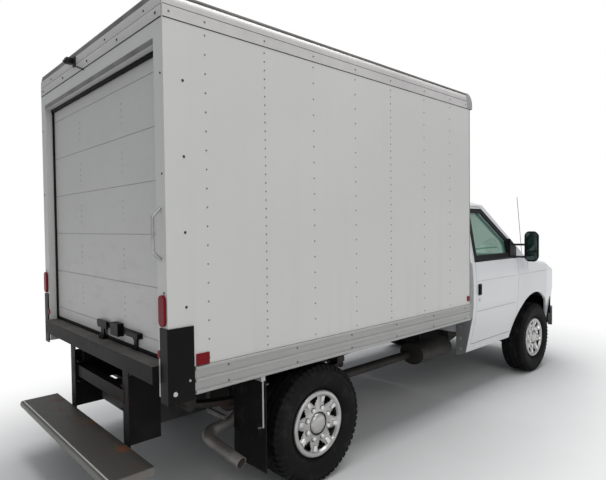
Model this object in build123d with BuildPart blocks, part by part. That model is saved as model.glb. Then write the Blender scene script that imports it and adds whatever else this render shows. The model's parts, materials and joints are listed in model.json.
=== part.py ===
"""Cutaway van with a dry-freight box body, on a ladder frame with single rear wheels.

Frame: millimetres, +X forward, +Y to the driver's side, +Z up. The origin lies on the ground,
midway along the whole length and on the centre plane. Stations along X are worked out from the
two axles, heights are from the ground, and every left-hand piece mirrors the right-hand one.
"""
import os
from math import cos, radians, sin

from build123d import *

os.makedirs("parts", exist_ok=True)

# Overall driving dimensions
BOX_LENGTH = 3048.0
BOX_WIDTH = 2032.0
BOX_REAR_OVERHANG = 1072.0
BOX_TO_CAB = 56.0
CAB_BACK_TO_FRONT_AXLE = 1473.0
FRONT_OVERHANG = 770.0
STEP_REACH = 248.0
WHEELBASE = BOX_LENGTH - BOX_REAR_OVERHANG + BOX_TO_CAB + CAB_BACK_TO_FRONT_AXLE
FRONT_TRACK = 1702.0
REAR_TRACK = 1790.0

# Stations along X
REAR_AXLE_X = (BOX_REAR_OVERHANG + STEP_REACH - WHEELBASE - FRONT_OVERHANG) / 2
FRONT_AXLE_X = REAR_AXLE_X + WHEELBASE
NOSE_X = FRONT_AXLE_X + FRONT_OVERHANG
BOX_REAR_X = REAR_AXLE_X - BOX_REAR_OVERHANG
BOX_FRONT_X = BOX_REAR_X + BOX_LENGTH
CAB_BACK_X = FRONT_AXLE_X - CAB_BACK_TO_FRONT_AXLE
STEP_REAR_X = BOX_REAR_X - STEP_REACH

# Running clearances
JOINT_GAP = 6.0
SEAT_GAP = 0.3

# Tyres and wheels
TYRE_D = 774.0
TYRE_W = 245.0
TREAD_W = 196.0
TREAD_T = 26.0
BEAD_T = 26.0
RIM_D = 414.0
RIM_W = 190.0
RIM_WALL = 12.0
AXLE_Z = TYRE_D / 2
COVER_R = 216.0
COVER_VENTS = 8
VENT_R = 147.0
VENT_W = 64.0
VENT_L = 56.0
NUT_R = 92.0
DISC_Y = 18.0
SPINDLE_R = 30.0
HUB_BORE_R = SPINDLE_R + SEAT_GAP
KINGPIN_Y = 735.0

# Box body
BOX_HALF = BOX_WIDTH / 2
WALL_T = 50.0
FLOOR_Z = 968.0
FLOOR_T = 34.0
SKIRT_Z0 = 808.0
SKIRT_Z1 = 954.0
RAIL_Z0 = 2723.0
RAIL_SEAM_Z = 2784.0
RAIL_Z1 = 2858.0
ROOF_CROWN = 14.0
POST_SIDE_W = 144.0
POST_DEPTH = 60.0
POST_REAR_W = 101.0
DOOR_HALF = BOX_HALF - POST_REAR_W
HEADER_Z = 2611.0
CORNER_R = 55.0
SILL_REACH = 38.0
SILL_H = 92.0
SILL_GROOVES = 5
BOOT_Z0 = 785.0
BOOT_Z1 = 1170.0
BOOT_T = 8.0
BOOT_REAR_W = 72.0
CURTAIN_T = 25.0
CURTAIN_PITCH = 289.0
CURTAIN_FIRST_SEAM_Z = 1356.0
CURTAIN_GAP = 6.0

# Ladder frame
RAIL_Y = 432.0
RAIL_FLANGE = 70.0
RAIL_H = 150.0
RAIL_WEB = 8.0
FRAME_TOP_Z = 740.0
FRAME_LOW_Z = 640.0
FRAME_REAR_X = BOX_REAR_X + 22.3
FRAME_FRONT_X = NOSE_X - 120.0
GEARBOX_REAR_X = FRONT_AXLE_X - 1150.0
GEARBOX_BEAM_Z = 440.0
GEARBOX_BEAM_HALF = 394.0

# Cab
CAB_HALF = 1000.0
ROCKER_Z = 472.0
ROCKER_Y = 920.0
LOWER_CREASE_Z = 800.0
LOWER_CREASE_Y = 988.0
BELT_CREASE_Z = 1144.0
BELT_Z = 1318.0
BELT_Y = 986.0
GREENHOUSE_Y = 970.0
DRIP_Z = 1872.0
DRIP_Y = 872.0
CAB_ROOF_Z = 1998.0
CAB_WALL = 62.0
CAB_FLOOR_Z = 700.0
CAB_FLOOR_T = 50.0
FIREWALL_X = FRONT_AXLE_X - 275.0
GLASS_T = 6.0
DOOR_FRONT_X = FRONT_AXLE_X - 517.0
DOOR_REAR_X = CAB_BACK_X + 62.0
DOOR_SILL_Z = 545.0
DOOR_TOP_Z = 1850.0
ARCH_R = 505.0
ARCH_X = FRONT_AXLE_X - 75.0
ARCH_Z = 412.0
WINDSCREEN_FOOT_X = FRONT_AXLE_X - 155.0
WINDSCREEN_FOOT_Z = 1322.0
WINDSCREEN_SLOPE = 34.0
WINDSCREEN_BOW_R = 7000.0
FENDER_T = 22.0
HOOD_T = 34.0
HOOD_REAR_X = FRONT_AXLE_X - 120.0
GRILLE_X = NOSE_X - 95.0
BUMPER_Z0 = 458.0
BUMPER_Z1 = 672.0
BUMPER_T = 46.0
BUMPER_WRAP_X = FRONT_AXLE_X + 500.0
BUMPER_HALF = 962.0

pieces = {}


def keep(name, builder):
    """Labels one finished piece and holds it for the files."""
    builder.part.label = name
    pieces[name] = builder.part


def keep_pair(name, builder):
    """Keeps a right-hand piece and its mirror image as two nodes."""
    with BuildPart() as left:
        mirror(builder.part, about=Plane.XZ)
    keep(name + "_right", builder)
    keep(name + "_left", left)


def block(x0, x1, y0, y1, z0, z1, mode=Mode.ADD):
    """One rectangular block between two corners, in the part that is open."""
    centre = ((x0 + x1) / 2, (y0 + y1) / 2, (z0 + z1) / 2)
    with Locations(centre):
        Box(abs(x1 - x0), abs(y1 - y0), abs(z1 - z0), mode=mode)


def rod(start, end, radius, mode=Mode.ADD):
    """One round rod between two points, in the part that is open."""
    run = Vector(*end) - Vector(*start)
    with Locations(Plane(origin=start, z_dir=run).location):
        Cylinder(radius, run.length, align=(Align.CENTER, Align.CENTER, Align.MIN), mode=mode)


# Wheels and tyres


def make_tyre(centre):
    """A tyre with bulged sidewalls, open at the beads, round an axle along Y."""
    with BuildPart() as tyre:
        with BuildSketch(Plane(origin=centre)):
            with BuildLine():
                half = TYRE_W / 2
                bead = RIM_W / 2 - RIM_WALL - 0.5
                crown = TYRE_D / 2
                # radius, distance from the middle plane: one half of the outer wall, then of the cavity
                outer = ((RIM_D / 2 + 15, bead), (RIM_D / 2 + 84, half), (crown - 16, TREAD_W / 2 + 8),
                         (crown, TREAD_W / 2 - 12))
                cavity = ((crown - TREAD_T, half - TREAD_T), (RIM_D / 2, bead - BEAD_T), (RIM_D / 2, bead))
                Polyline(*outer, *[(r, -y) for r, y in reversed(outer)],
                         *[(r, -y) for r, y in reversed(cavity)],
                         *cavity, close=True)
            make_face()
        revolve(axis=Axis(centre, (0, 1, 0)))
    return tyre


def make_wheel(centre, side):
    """A steel wheel with its hub and a vented round cover on the outboard side."""
    rim_r = RIM_D / 2 - SEAT_GAP
    half = RIM_W / 2
    with BuildPart() as wheel:
        with BuildSketch(Plane(origin=centre)):
            with BuildLine():
                # radius, distance outboard: barrel with its flanges, disc and hub
                Polyline(*[(r, side * y) for r, y in (
                    (HUB_BORE_R, DISC_Y - 60), (78, DISC_Y - 60), (78, DISC_Y - 8), (rim_r - 30, DISC_Y - 8),
                    (rim_r - 30, 20 - half), (rim_r - RIM_WALL, -half), (rim_r + 14, -half),
                    (rim_r + 14, 8 - half),
                    (rim_r, 12 - half), (rim_r, half - 12), (rim_r + 14, half - 8), (rim_r + 14, half),
                    (rim_r - RIM_WALL, half), (rim_r - 30, half - 20), (rim_r - 30, DISC_Y + 2),
                    (HUB_BORE_R, DISC_Y + 2))], close=True)
            make_face()
        revolve(axis=Axis(centre, (0, 1, 0)))
        # the cover: a shallow dish with a bright rim ring and a raised centre dome
        with BuildSketch(Plane(origin=centre)):
            with BuildLine():
                rim_y = half + 1
                Polyline(*[(r, side * y) for r, y in (
                    (0, rim_y + 12), (48, rim_y + 11), (70, rim_y - 8), (112, rim_y - 12), (182, rim_y + 4),
                    (COVER_R - 14, rim_y + 12), (COVER_R, rim_y + 5), (COVER_R, rim_y), (COVER_R - 22, rim_y),
                    (112, rim_y - 26), (60, DISC_Y + 2), (0, DISC_Y + 2))], close=True)
            make_face()
        revolve(axis=Axis(centre, (0, 1, 0)))
        inboard = Plane(origin=Vector(*centre) + Vector(0, side * (DISC_Y + 6), 0), x_dir=(1, 0, 0),
                        z_dir=(0, side, 0))
        with BuildSketch(inboard):
            with PolarLocations(VENT_R, COVER_VENTS):
                Trapezoid(VENT_W, VENT_L, 100, rotation=-90)
        extrude(amount=half + 20, mode=Mode.SUBTRACT)
        # a bump over each wheel nut
        with Locations(Plane(origin=Vector(*centre) + Vector(0, side * (rim_y - 20), 0),
                             z_dir=(0, side, 0)).location):
            with PolarLocations(NUT_R, COVER_VENTS, start_angle=180 / COVER_VENTS):
                Cone(15, 9, 22, align=(Align.CENTER, Align.CENTER, Align.MIN))
    return wheel


def wheel_centre(axle_x, track, side):
    """The point where a wheel's middle plane meets its axle."""
    return (axle_x, side * track / 2, AXLE_Z)


WHEELS = (  # name, axle station, track, side
    ("front_right", FRONT_AXLE_X, FRONT_TRACK, -1),
    ("front_left", FRONT_AXLE_X, FRONT_TRACK, 1),
    ("rear_right", REAR_AXLE_X, REAR_TRACK, -1),
    ("rear_left", REAR_AXLE_X, REAR_TRACK, 1),
)
for place, axle_x, track, side in WHEELS:
    keep("tyre_" + place, make_tyre(wheel_centre(axle_x, track, side)))
    keep("wheel_" + place, make_wheel(wheel_centre(axle_x, track, side), side))


# Chassis

RAIL_TOP = (  # station, height of the rail's top edge, from the rear end forward
    (FRAME_REAR_X, FRAME_TOP_Z), (BOX_FRONT_X - 400, FRAME_TOP_Z), (CAB_BACK_X - 8, FRAME_LOW_Z),
    (FRONT_AXLE_X - 255, FRAME_LOW_Z), (FRONT_AXLE_X - 160, FRAME_LOW_Z + 50),
    (FRONT_AXLE_X + 240, FRAME_LOW_Z + 50), (FRONT_AXLE_X + 340, FRAME_LOW_Z), (FRAME_FRONT_X, FRAME_LOW_Z),
)
CROSSMEMBERS = (  # station, height of the tube's middle
    (FRAME_REAR_X + 40, FRAME_TOP_Z - RAIL_H / 2), (REAR_AXLE_X - 560, FRAME_TOP_Z - RAIL_H / 2),
    (REAR_AXLE_X + 420, FRAME_TOP_Z - RAIL_H / 2), (REAR_AXLE_X + 1300, FRAME_TOP_Z - RAIL_H / 2),
    (FRAME_FRONT_X - 60, FRAME_LOW_Z - RAIL_H / 2),
)

with BuildPart() as frame:
    with BuildSketch(Plane.XZ.offset(RAIL_Y - RAIL_FLANGE)):
        with BuildLine():
            Polyline(*RAIL_TOP, *[(x, z - RAIL_H) for x, z in reversed(RAIL_TOP)], close=True)
        make_face()
    extrude(amount=RAIL_FLANGE)
    with BuildSketch(Plane.XZ.offset(RAIL_Y - RAIL_FLANGE)):
        with BuildLine():
            Polyline(*[(x, z - RAIL_WEB) for x, z in RAIL_TOP],
                     *[(x, z - RAIL_H + RAIL_WEB) for x, z in reversed(RAIL_TOP)], close=True)
        make_face()
    extrude(amount=RAIL_FLANGE - RAIL_WEB, mode=Mode.SUBTRACT)
    mirror(about=Plane.XZ)
    for x, z in CROSSMEMBERS:
        block(x - 30, x + 30, RAIL_WEB - RAIL_Y, RAIL_Y - RAIL_WEB, z - 40, z + 40)
    # the member that carries the gearbox hangs below the rails
    x = GEARBOX_REAR_X + 50
    block(x - 30, x + 30, -GEARBOX_BEAM_HALF, GEARBOX_BEAM_HALF, GEARBOX_BEAM_Z - 40, GEARBOX_BEAM_Z)
    for side in (-1, 1):
        block(x - 30, x + 30, side * (GEARBOX_BEAM_HALF - 30), side * GEARBOX_BEAM_HALF, GEARBOX_BEAM_Z - 40,
              FRAME_LOW_Z - RAIL_H + 2)
keep("frame", frame)

SPRING_Y = 520.0
SPRING_W = 76.0
SPRING_T = 48.0
SPRING_SPAN = 1380.0
SPRING_SEAT_Z = AXLE_Z + 78
SPRING_EYE_Z = SPRING_SEAT_Z + 92
EYE_R = 28.0

with BuildPart() as leaf_springs:
    # each pack is a shallow bow with an eye at both ends, held to the axle by its clamp
    with BuildSketch(Plane.XZ.offset(SPRING_Y - SPRING_W / 2)):
        with BuildLine():
            front_eye = (REAR_AXLE_X + SPRING_SPAN / 2, SPRING_EYE_Z)
            rear_eye = (REAR_AXLE_X - SPRING_SPAN / 2, SPRING_EYE_Z)
            ThreePointArc(rear_eye, (REAR_AXLE_X, SPRING_SEAT_Z), front_eye)
            Line(front_eye, (front_eye[0], front_eye[1] + SPRING_T / 2))
            ThreePointArc((front_eye[0], front_eye[1] + SPRING_T / 2),
                          (REAR_AXLE_X, SPRING_SEAT_Z + SPRING_T),
                          (rear_eye[0], rear_eye[1] + SPRING_T / 2))
            Line((rear_eye[0], rear_eye[1] + SPRING_T / 2), rear_eye)
        make_face()
        with Locations(front_eye, rear_eye):
            Circle(EYE_R)
    extrude(amount=SPRING_W)
    # hangers reach outboard from the rail's web to the eyes
    for eye_x in (front_eye[0], rear_eye[0]):
        block(eye_x - 40, eye_x + 40, -RAIL_Y - 10, -RAIL_Y, SPRING_EYE_Z - 40, FRAME_TOP_Z - 20)
        block(eye_x - 40, eye_x + 40, -SPRING_Y - SPRING_W / 2, -RAIL_Y, SPRING_EYE_Z + EYE_R - 10,
              SPRING_EYE_Z + 60)
    mirror(about=Plane.XZ)
keep("leaf_springs", leaf_springs)

REAR_TUBE_R = 46.0
HOUSING_R = 162.0

with BuildPart() as rear_axle:
    hub_end = REAR_TRACK / 2 + 8
    rod((REAR_AXLE_X, -(REAR_TRACK / 2 - 60), AXLE_Z), (REAR_AXLE_X, REAR_TRACK / 2 - 60, AXLE_Z),
        REAR_TUBE_R)
    rod((REAR_AXLE_X, -hub_end, AXLE_Z), (REAR_AXLE_X, hub_end, AXLE_Z), SPINDLE_R)
    # the gear housing: a round drum with its cover to the rear and the nose of the pinion ahead
    rod((REAR_AXLE_X - 70, 0, AXLE_Z), (REAR_AXLE_X + 100, 0, AXLE_Z), HOUSING_R)
    rod((REAR_AXLE_X - 106, 0, AXLE_Z), (REAR_AXLE_X - 70, 0, AXLE_Z), HOUSING_R * 0.72)
    rod((REAR_AXLE_X + 100, 0, AXLE_Z), (REAR_AXLE_X + 230, 0, AXLE_Z), 70)
    for side in (-1, 1):
        # brake disc and spring seat
        rod((REAR_AXLE_X, side * (REAR_TRACK / 2 - 108), AXLE_Z),
            (REAR_AXLE_X, side * (REAR_TRACK / 2 - 72), AXLE_Z),
            150)
        block(REAR_AXLE_X - 90, REAR_AXLE_X + 90, side * (SPRING_Y - 38), side * (SPRING_Y + 38), AXLE_Z,
              SPRING_SEAT_Z - SEAT_GAP)
keep("rear_axle", rear_axle)

BEAM_X_STEP = 62.0
BEAM_H = 80.0
BEAM_T = 46.0
BEAM_Z = AXLE_Z - 60
KNUCKLE_Z = AXLE_Z - 20
KINGPIN_R = 13.0
RADIUS_ARM_X = FRONT_AXLE_X - 1050
COIL_R = 68.0

with BuildPart() as front_suspension:
    # twin beams cross under the frame, each pivoted beyond the centre line and forked by a knuckle
    for side in (-1, 1):
        x = FRONT_AXLE_X + side * BEAM_X_STEP / 2
        block(x - BEAM_T / 2, x + BEAM_T / 2, side * -220, side * (KINGPIN_Y - 95), BEAM_Z - BEAM_H / 2,
              BEAM_Z + BEAM_H / 2)
        block(FRONT_AXLE_X - 54, FRONT_AXLE_X + 54, side * (KINGPIN_Y - 130), side * (KINGPIN_Y - 95),
              BEAM_Z - BEAM_H / 2, KNUCKLE_Z + 55)
        block(FRONT_AXLE_X - 24, FRONT_AXLE_X + 24, side * (KINGPIN_Y - 96), side * KINGPIN_Y, KNUCKLE_Z - 55,
              KNUCKLE_Z + 55)
        rod((FRONT_AXLE_X, side * KINGPIN_Y, KNUCKLE_Z - 55),
            (FRONT_AXLE_X, side * KINGPIN_Y, KNUCKLE_Z + 55), 26)
        rod((FRONT_AXLE_X, side * KINGPIN_Y, KNUCKLE_Z - 88),
            (FRONT_AXLE_X, side * KINGPIN_Y, KNUCKLE_Z + 88),
            KINGPIN_R)
        # radius arm back to the frame, and the coil between beam and rail
        rod((FRONT_AXLE_X, side * 472, BEAM_Z), (RADIUS_ARM_X, side * 462, FRAME_LOW_Z - RAIL_H + 30), 24)
        block(RADIUS_ARM_X - 30, RADIUS_ARM_X + 30, side * 500, side * (RAIL_Y + SEAT_GAP),
              FRAME_LOW_Z - RAIL_H,
              FRAME_LOW_Z - 60)
        rod((FRONT_AXLE_X, side * 505, BEAM_Z), (FRONT_AXLE_X, side * 505, FRAME_LOW_Z + 20), COIL_R)
        block(FRONT_AXLE_X - 70, FRONT_AXLE_X + 70, side * (RAIL_Y + SEAT_GAP), side * 575, FRAME_LOW_Z + 20,
              FRAME_LOW_Z + 34)
        # beam pivot bracket under the frame
        block(x - 40, x + 40, side * -220, side * -180, BEAM_Z - 30, FRAME_LOW_Z - 92)
    block(FRONT_AXLE_X - 80, FRONT_AXLE_X + 80, RAIL_WEB + SEAT_GAP - RAIL_Y, RAIL_Y - RAIL_WEB - SEAT_GAP,
          FRAME_LOW_Z - 92, FRAME_LOW_Z - 62)
keep("front_suspension", front_suspension)

with BuildPart() as knuckle:
    plate_y = -KINGPIN_Y - 37
    # a fork that straddles the beam's boss, with the spindle, backplate and steering arm
    block(FRONT_AXLE_X - 30, FRONT_AXLE_X + 30, plate_y, plate_y - 18, KNUCKLE_Z - 84, KNUCKLE_Z + 84)
    for z in (KNUCKLE_Z - 84, KNUCKLE_Z + 62):
        block(FRONT_AXLE_X - 30, FRONT_AXLE_X + 30, plate_y, -KINGPIN_Y + 23, z, z + 22)
    rod((FRONT_AXLE_X, -KINGPIN_Y, KNUCKLE_Z - 100), (FRONT_AXLE_X, -KINGPIN_Y, KNUCKLE_Z + 100),
        KINGPIN_R + SEAT_GAP, mode=Mode.SUBTRACT)
    rod((FRONT_AXLE_X, plate_y, AXLE_Z), (FRONT_AXLE_X, -FRONT_TRACK / 2 - 8, AXLE_Z), SPINDLE_R)
    rod((FRONT_AXLE_X, plate_y - 14, AXLE_Z), (FRONT_AXLE_X, plate_y - 30, AXLE_Z), 140)
    block(FRONT_AXLE_X - 150, FRONT_AXLE_X - 20, plate_y, plate_y - 18, AXLE_Z - 60, AXLE_Z - 36)
keep_pair("knuckle", knuckle)

SHAFT_R = 45.0

with BuildPart() as driveline:
    # engine and gearbox as one plain mass, and the shaft to the rear axle
    block(FRONT_AXLE_X - 250, FRONT_AXLE_X + 420, -270, 270, FRAME_LOW_Z - 50, FRAME_LOW_Z + 480)
    with BuildSketch(Plane.XZ.offset(-140)):
        with BuildLine():
            Polyline((FRONT_AXLE_X - 250, FRAME_LOW_Z - 60), (FRONT_AXLE_X - 250, FRAME_LOW_Z - 8),
                     (GEARBOX_REAR_X, FRAME_LOW_Z - 60), (GEARBOX_REAR_X, FRAME_LOW_Z - 190),
                     (FRONT_AXLE_X - 250, FRAME_LOW_Z - 250), close=True)
        make_face()
    extrude(amount=280)
    rod((GEARBOX_REAR_X + 10, 0, FRAME_LOW_Z - 125), (REAR_AXLE_X + 238, 0, AXLE_Z + 2), SHAFT_R)
    # mounts on the front suspension's member and on the gearbox member
    for side in (-1, 1):
        block(FRONT_AXLE_X - 50, FRONT_AXLE_X + 50, side * 150, side * 230, FRAME_LOW_Z - 62 + SEAT_GAP,
              FRAME_LOW_Z - 48)
    block(GEARBOX_REAR_X + 25, GEARBOX_REAR_X + 75, -60, 60, GEARBOX_BEAM_Z + SEAT_GAP, GEARBOX_BEAM_Z + 14)
keep("driveline", driveline)

TANK_HALF = 330.0

with BuildPart() as fuel_tank:
    block(REAR_AXLE_X - 900, REAR_AXLE_X - 260, -TANK_HALF, TANK_HALF, 420, FRAME_TOP_Z - RAIL_H - 20)
    fillet(fuel_tank.edges().filter_by(Axis.Y), 50)
    for x in (REAR_AXLE_X - 760, REAR_AXLE_X - 420):
        block(x - 25, x + 25, -RAIL_Y, RAIL_Y, FRAME_TOP_Z - RAIL_H - 20, FRAME_TOP_Z - RAIL_H - SEAT_GAP)
keep("fuel_tank", fuel_tank)

MUFFLER = (CAB_BACK_X - 552, CAB_BACK_X - 72)
PIPE_R = 36.0
PIPE_WALL = 3.0
PIPE_PATH = (  # the tail pipe's route over the axle and out behind the wheel: x, y, z
    (MUFFLER[0] + 10, -640, 500), (REAR_AXLE_X + 520, -640, 500), (REAR_AXLE_X + 250, -640, 640),
    (REAR_AXLE_X - 180, -640, 640), (REAR_AXLE_X - 430, -627, 420), (REAR_AXLE_X - 650, -627, 400),
    (REAR_AXLE_X - 600, 49 - BOX_HALF, 317),
)

with BuildPart() as exhaust:
    with BuildLine() as pipe_line:
        FilletPolyline(*PIPE_PATH, radius=70)
    with BuildSketch(Plane(origin=PIPE_PATH[0], z_dir=(-1, 0, 0))):
        Circle(PIPE_R)
    sweep(path=pipe_line.wires()[0])
    outlet = Vector(*PIPE_PATH[-1])
    inward = (Vector(*PIPE_PATH[-2]) - outlet).normalized()
    with BuildSketch(Plane(origin=outlet, z_dir=inward)):
        Circle(PIPE_R - PIPE_WALL)
    extrude(amount=220, mode=Mode.SUBTRACT)
    with BuildSketch(Plane.YZ.offset(MUFFLER[0])):
        with Locations((-690, 520)):
            Ellipse(125, 95)
    extrude(amount=MUFFLER[1] - MUFFLER[0])
    rod((MUFFLER[1] - 5, -600, 470), (FRONT_AXLE_X - 700, -320, 420), PIPE_R)
    with Locations((FRONT_AXLE_X - 700, -320, 420)):
        Sphere(PIPE_R)
    rod((FRONT_AXLE_X - 700, -320, 420), (FRONT_AXLE_X - 270, -290, 540), PIPE_R)
    # hangers from the rail to muffler and pipe
    block(MUFFLER[0] + 200, MUFFLER[0] + 230, -640, -RAIL_Y, 600, 640)
    block(REAR_AXLE_X - 500, REAR_AXLE_X - 480, -640, -RAIL_Y, 445, 475)
    block(REAR_AXLE_X - 500, REAR_AXLE_X - 480, -RAIL_Y - 12, -RAIL_Y, 445, 640)
keep("exhaust", exhaust)


# Cab volumes


def section_prism(inset, x0, x1, z0=ROCKER_Z):
    """The cab's cross-section from rocker to roof, moved inward by inset, run between two stations."""
    with BuildPart() as prism:
        with BuildSketch(Plane.YZ.offset(x0)):
            with BuildLine():
                belt_in = GREENHOUSE_Y - inset
                drip = (DRIP_Y - inset, DRIP_Z - inset / 2)
                Polyline((0, ROCKER_Z), (ROCKER_Y - inset, ROCKER_Z),
                         (LOWER_CREASE_Y - inset, LOWER_CREASE_Z),
                         (CAB_HALF - inset, LOWER_CREASE_Z + 120), (CAB_HALF - inset, BELT_CREASE_Z),
                         (BELT_Y - inset, BELT_Z), (belt_in, BELT_Z + 6), drip)
                ThreePointArc(drip, (DRIP_Y * 0.72 - inset / 2, CAB_ROOF_Z - 48 - inset),
                              (0, CAB_ROOF_Z - inset))
                Line((0, CAB_ROOF_Z - inset), (0, ROCKER_Z))
            make_face()
            mirror(about=Plane.YZ)
        extrude(amount=x1 - x0)
        if z0 > ROCKER_Z:
            block(x0 - 1, x1 + 1, -CAB_HALF - 1, CAB_HALF + 1, ROCKER_Z - 1, z0, mode=Mode.SUBTRACT)
    return prism.part


def behind_windscreen(inset):
    """All that lies behind the windscreen's bowed surface, moved back by inset."""
    slope = radians(WINDSCREEN_SLOPE)
    foot = Vector(WINDSCREEN_FOOT_X - inset / sin(slope), 0, WINDSCREEN_FOOT_Z)
    bow = Plane(origin=foot, x_dir=(0, 1, 0), z_dir=(-cos(slope), 0, sin(slope)))
    ahead = 1 if bow.y_dir.X > 0 else -1
    edge = CAB_HALF + 60
    sag = WINDSCREEN_BOW_R - (WINDSCREEN_BOW_R ** 2 - edge ** 2) ** 0.5
    depth = 2600
    with BuildPart() as region:
        with BuildSketch(bow):
            with BuildLine():
                ThreePointArc((-edge, -ahead * sag), (0, 0), (edge, -ahead * sag))
                Polyline((edge, -ahead * sag), (edge, -ahead * depth), (-edge, -ahead * depth),
                         (-edge, -ahead * sag))
            make_face()
        extrude(amount=2200, both=True)
    return region.part


def cabin_volume(inset, x0, x1, z0=ROCKER_Z):
    """The cab's volume behind the windscreen, moved inward by inset, between two stations."""
    return section_prism(inset, x0, x1, z0) & behind_windscreen(inset)


NOSE_SECTIONS = (  # station, half width, shoulder height, top height at the centre, rocker half width
    (FIREWALL_X, CAB_HALF, BELT_Z - 40, BELT_Z + 12, ROCKER_Y),
    (FRONT_AXLE_X + 260, CAB_HALF - 8, 1205.0, 1262.0, ROCKER_Y),
    (FRONT_AXLE_X + 560, CAB_HALF - 60, 1120.0, 1190.0, ROCKER_Y - 40),
    (GRILLE_X, CAB_HALF - 150, 1020.0, 1100.0, ROCKER_Y - 100),
)
SHOULDER_IN = 60.0
SHOULDER_RISE = 0.62


def nose_volume(inset):
    """The volume ahead of the firewall, lofted through four sections of lines and two arcs."""
    with BuildPart() as volume:
        for x, half, shoulder, top, rocker in NOSE_SECTIONS:
            with BuildSketch(Plane.YZ.offset(x)):
                with BuildLine():
                    h = half - inset
                    t = top - inset
                    s = shoulder - inset
                    r = rocker - inset
                    crest = s + (t - s) * SHOULDER_RISE
                    knee = s + (t - s) * SHOULDER_RISE * 0.6
                    Polyline((-r, ROCKER_Z), (r, ROCKER_Z), (h - 12, LOWER_CREASE_Z),
                             (h, LOWER_CREASE_Z + 120),
                             (h, s))
                    ThreePointArc((h, s), (h - 0.3 * SHOULDER_IN, knee), (h - SHOULDER_IN, crest))
                    Polyline((h - SHOULDER_IN, crest), (0, t), (SHOULDER_IN - h, crest))
                    ThreePointArc((SHOULDER_IN - h, crest), (0.3 * SHOULDER_IN - h, knee), (-h, s))
                    Polyline((-h, s), (-h, LOWER_CREASE_Z + 120), (12 - h, LOWER_CREASE_Z), (-r, ROCKER_Z))
                make_face()
        loft(ruled=True)
    return volume.part


def arch_cylinders(grow, inner_y):
    """Both wheel arches as round plugs, from inner_y outward."""
    with BuildPart() as arches:
        for side in (-1, 1):
            rod((ARCH_X, side * inner_y, ARCH_Z), (ARCH_X, side * (CAB_HALF + 80), ARCH_Z), ARCH_R + grow)
    return arches.part


PILLAR_RUN = 1 / 0.665
PILLAR_X = FRONT_AXLE_X - 543.0
PILLAR_Z = 1530.0


def pillar_line(drop, z):
    """Station where a line parallel to the windscreen pillar, drop below it, passes height z."""
    return PILLAR_X - (z - (PILLAR_Z - drop)) * PILLAR_RUN


def pillar_height(drop, x):
    """Height of the same line at a station."""
    return PILLAR_Z - drop + (PILLAR_X - x) / PILLAR_RUN


def door_prism(gap):
    """The right-hand door's outline, grown by gap, run through the cab's side."""
    with BuildPart() as prism:
        with BuildSketch(Plane.XZ.offset(CAB_HALF - 420)):
            with BuildLine():
                Polyline((DOOR_REAR_X - gap, DOOR_SILL_Z - gap), (DOOR_FRONT_X + gap, DOOR_SILL_Z - gap),
                         (DOOR_FRONT_X + gap, pillar_height(70 - gap, DOOR_FRONT_X)),
                         (pillar_line(70 - gap, DOOR_TOP_Z + gap), DOOR_TOP_Z + gap),
                         (DOOR_REAR_X - gap, DOOR_TOP_Z + gap), close=True)
            make_face()
            with Locations((ARCH_X, ARCH_Z)):
                Circle(ARCH_R + 34 - gap, mode=Mode.SUBTRACT)
        extrude(amount=500)
        add(section_prism(CAB_WALL + gap, CAB_BACK_X - 10, FRONT_AXLE_X), mode=Mode.SUBTRACT)
    return prism.part


WINDOW_Z0 = BELT_Z + 14
WINDOW_Z1 = 1790.0
WINDOW_REAR_X = DOOR_REAR_X + 55
WINDOW_FRONT_X = DOOR_FRONT_X - 150


def window_prism(shrink):
    """The side window's outline, pulled in by shrink, run through the right-hand door."""
    with BuildPart() as prism:
        with BuildSketch(Plane.XZ.offset(CAB_HALF - 400)):
            with BuildLine():
                Polyline((WINDOW_REAR_X + shrink, WINDOW_Z0 + shrink),
                         (WINDOW_FRONT_X - shrink, WINDOW_Z0 + shrink),
                         (WINDOW_FRONT_X - shrink, pillar_height(130 + shrink, WINDOW_FRONT_X)),
                         (pillar_line(130 + shrink, WINDOW_Z1 - shrink), WINDOW_Z1 - shrink),
                         (WINDOW_REAR_X + shrink, WINDOW_Z1 - shrink), close=True)
            make_face()
        extrude(amount=460)
    return prism.part


SCREEN_Z0 = WINDSCREEN_FOOT_Z + 24
SCREEN_Z1 = 1884.0
SCREEN_LOW_HALF = 905.0
SCREEN_TOP_HALF = 800.0


def screen_prism(shrink):
    """The windscreen's outline seen from ahead, pulled in by shrink."""
    with BuildPart() as prism:
        with BuildSketch(Plane.YZ.offset(FRONT_AXLE_X - 1330)):
            with BuildLine():
                Polyline((SCREEN_LOW_HALF - shrink, SCREEN_Z0 + shrink),
                         (SCREEN_TOP_HALF - shrink, SCREEN_Z1 - shrink),
                         (shrink - SCREEN_TOP_HALF, SCREEN_Z1 - shrink),
                         (shrink - SCREEN_LOW_HALF, SCREEN_Z0 + shrink),
                         close=True)
            make_face()
        extrude(amount=1400)
    return prism.part


HOOD_REAR_HALF = 915.0
HOOD_FRONT_HALF = 770.0
HOOD_FRONT_X = GRILLE_X - 38
HOOD_END_GAP = 14.0
HOOD_CORNER_GAPS = 2.5
HOOD_PIN = (HOOD_REAR_X - HOOD_END_GAP / 2, 1298.0)
HOOD_PIN_R = HOOD_END_GAP / 2 - 0.4
DOOR_PIN = (DOOR_FRONT_X + JOINT_GAP / 2, CAB_HALF - 3)
DOOR_PIN_R = JOINT_GAP / 2 - 0.4
DOOR_PINS_Z = ((930, 975), (1095, 1140))


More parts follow.
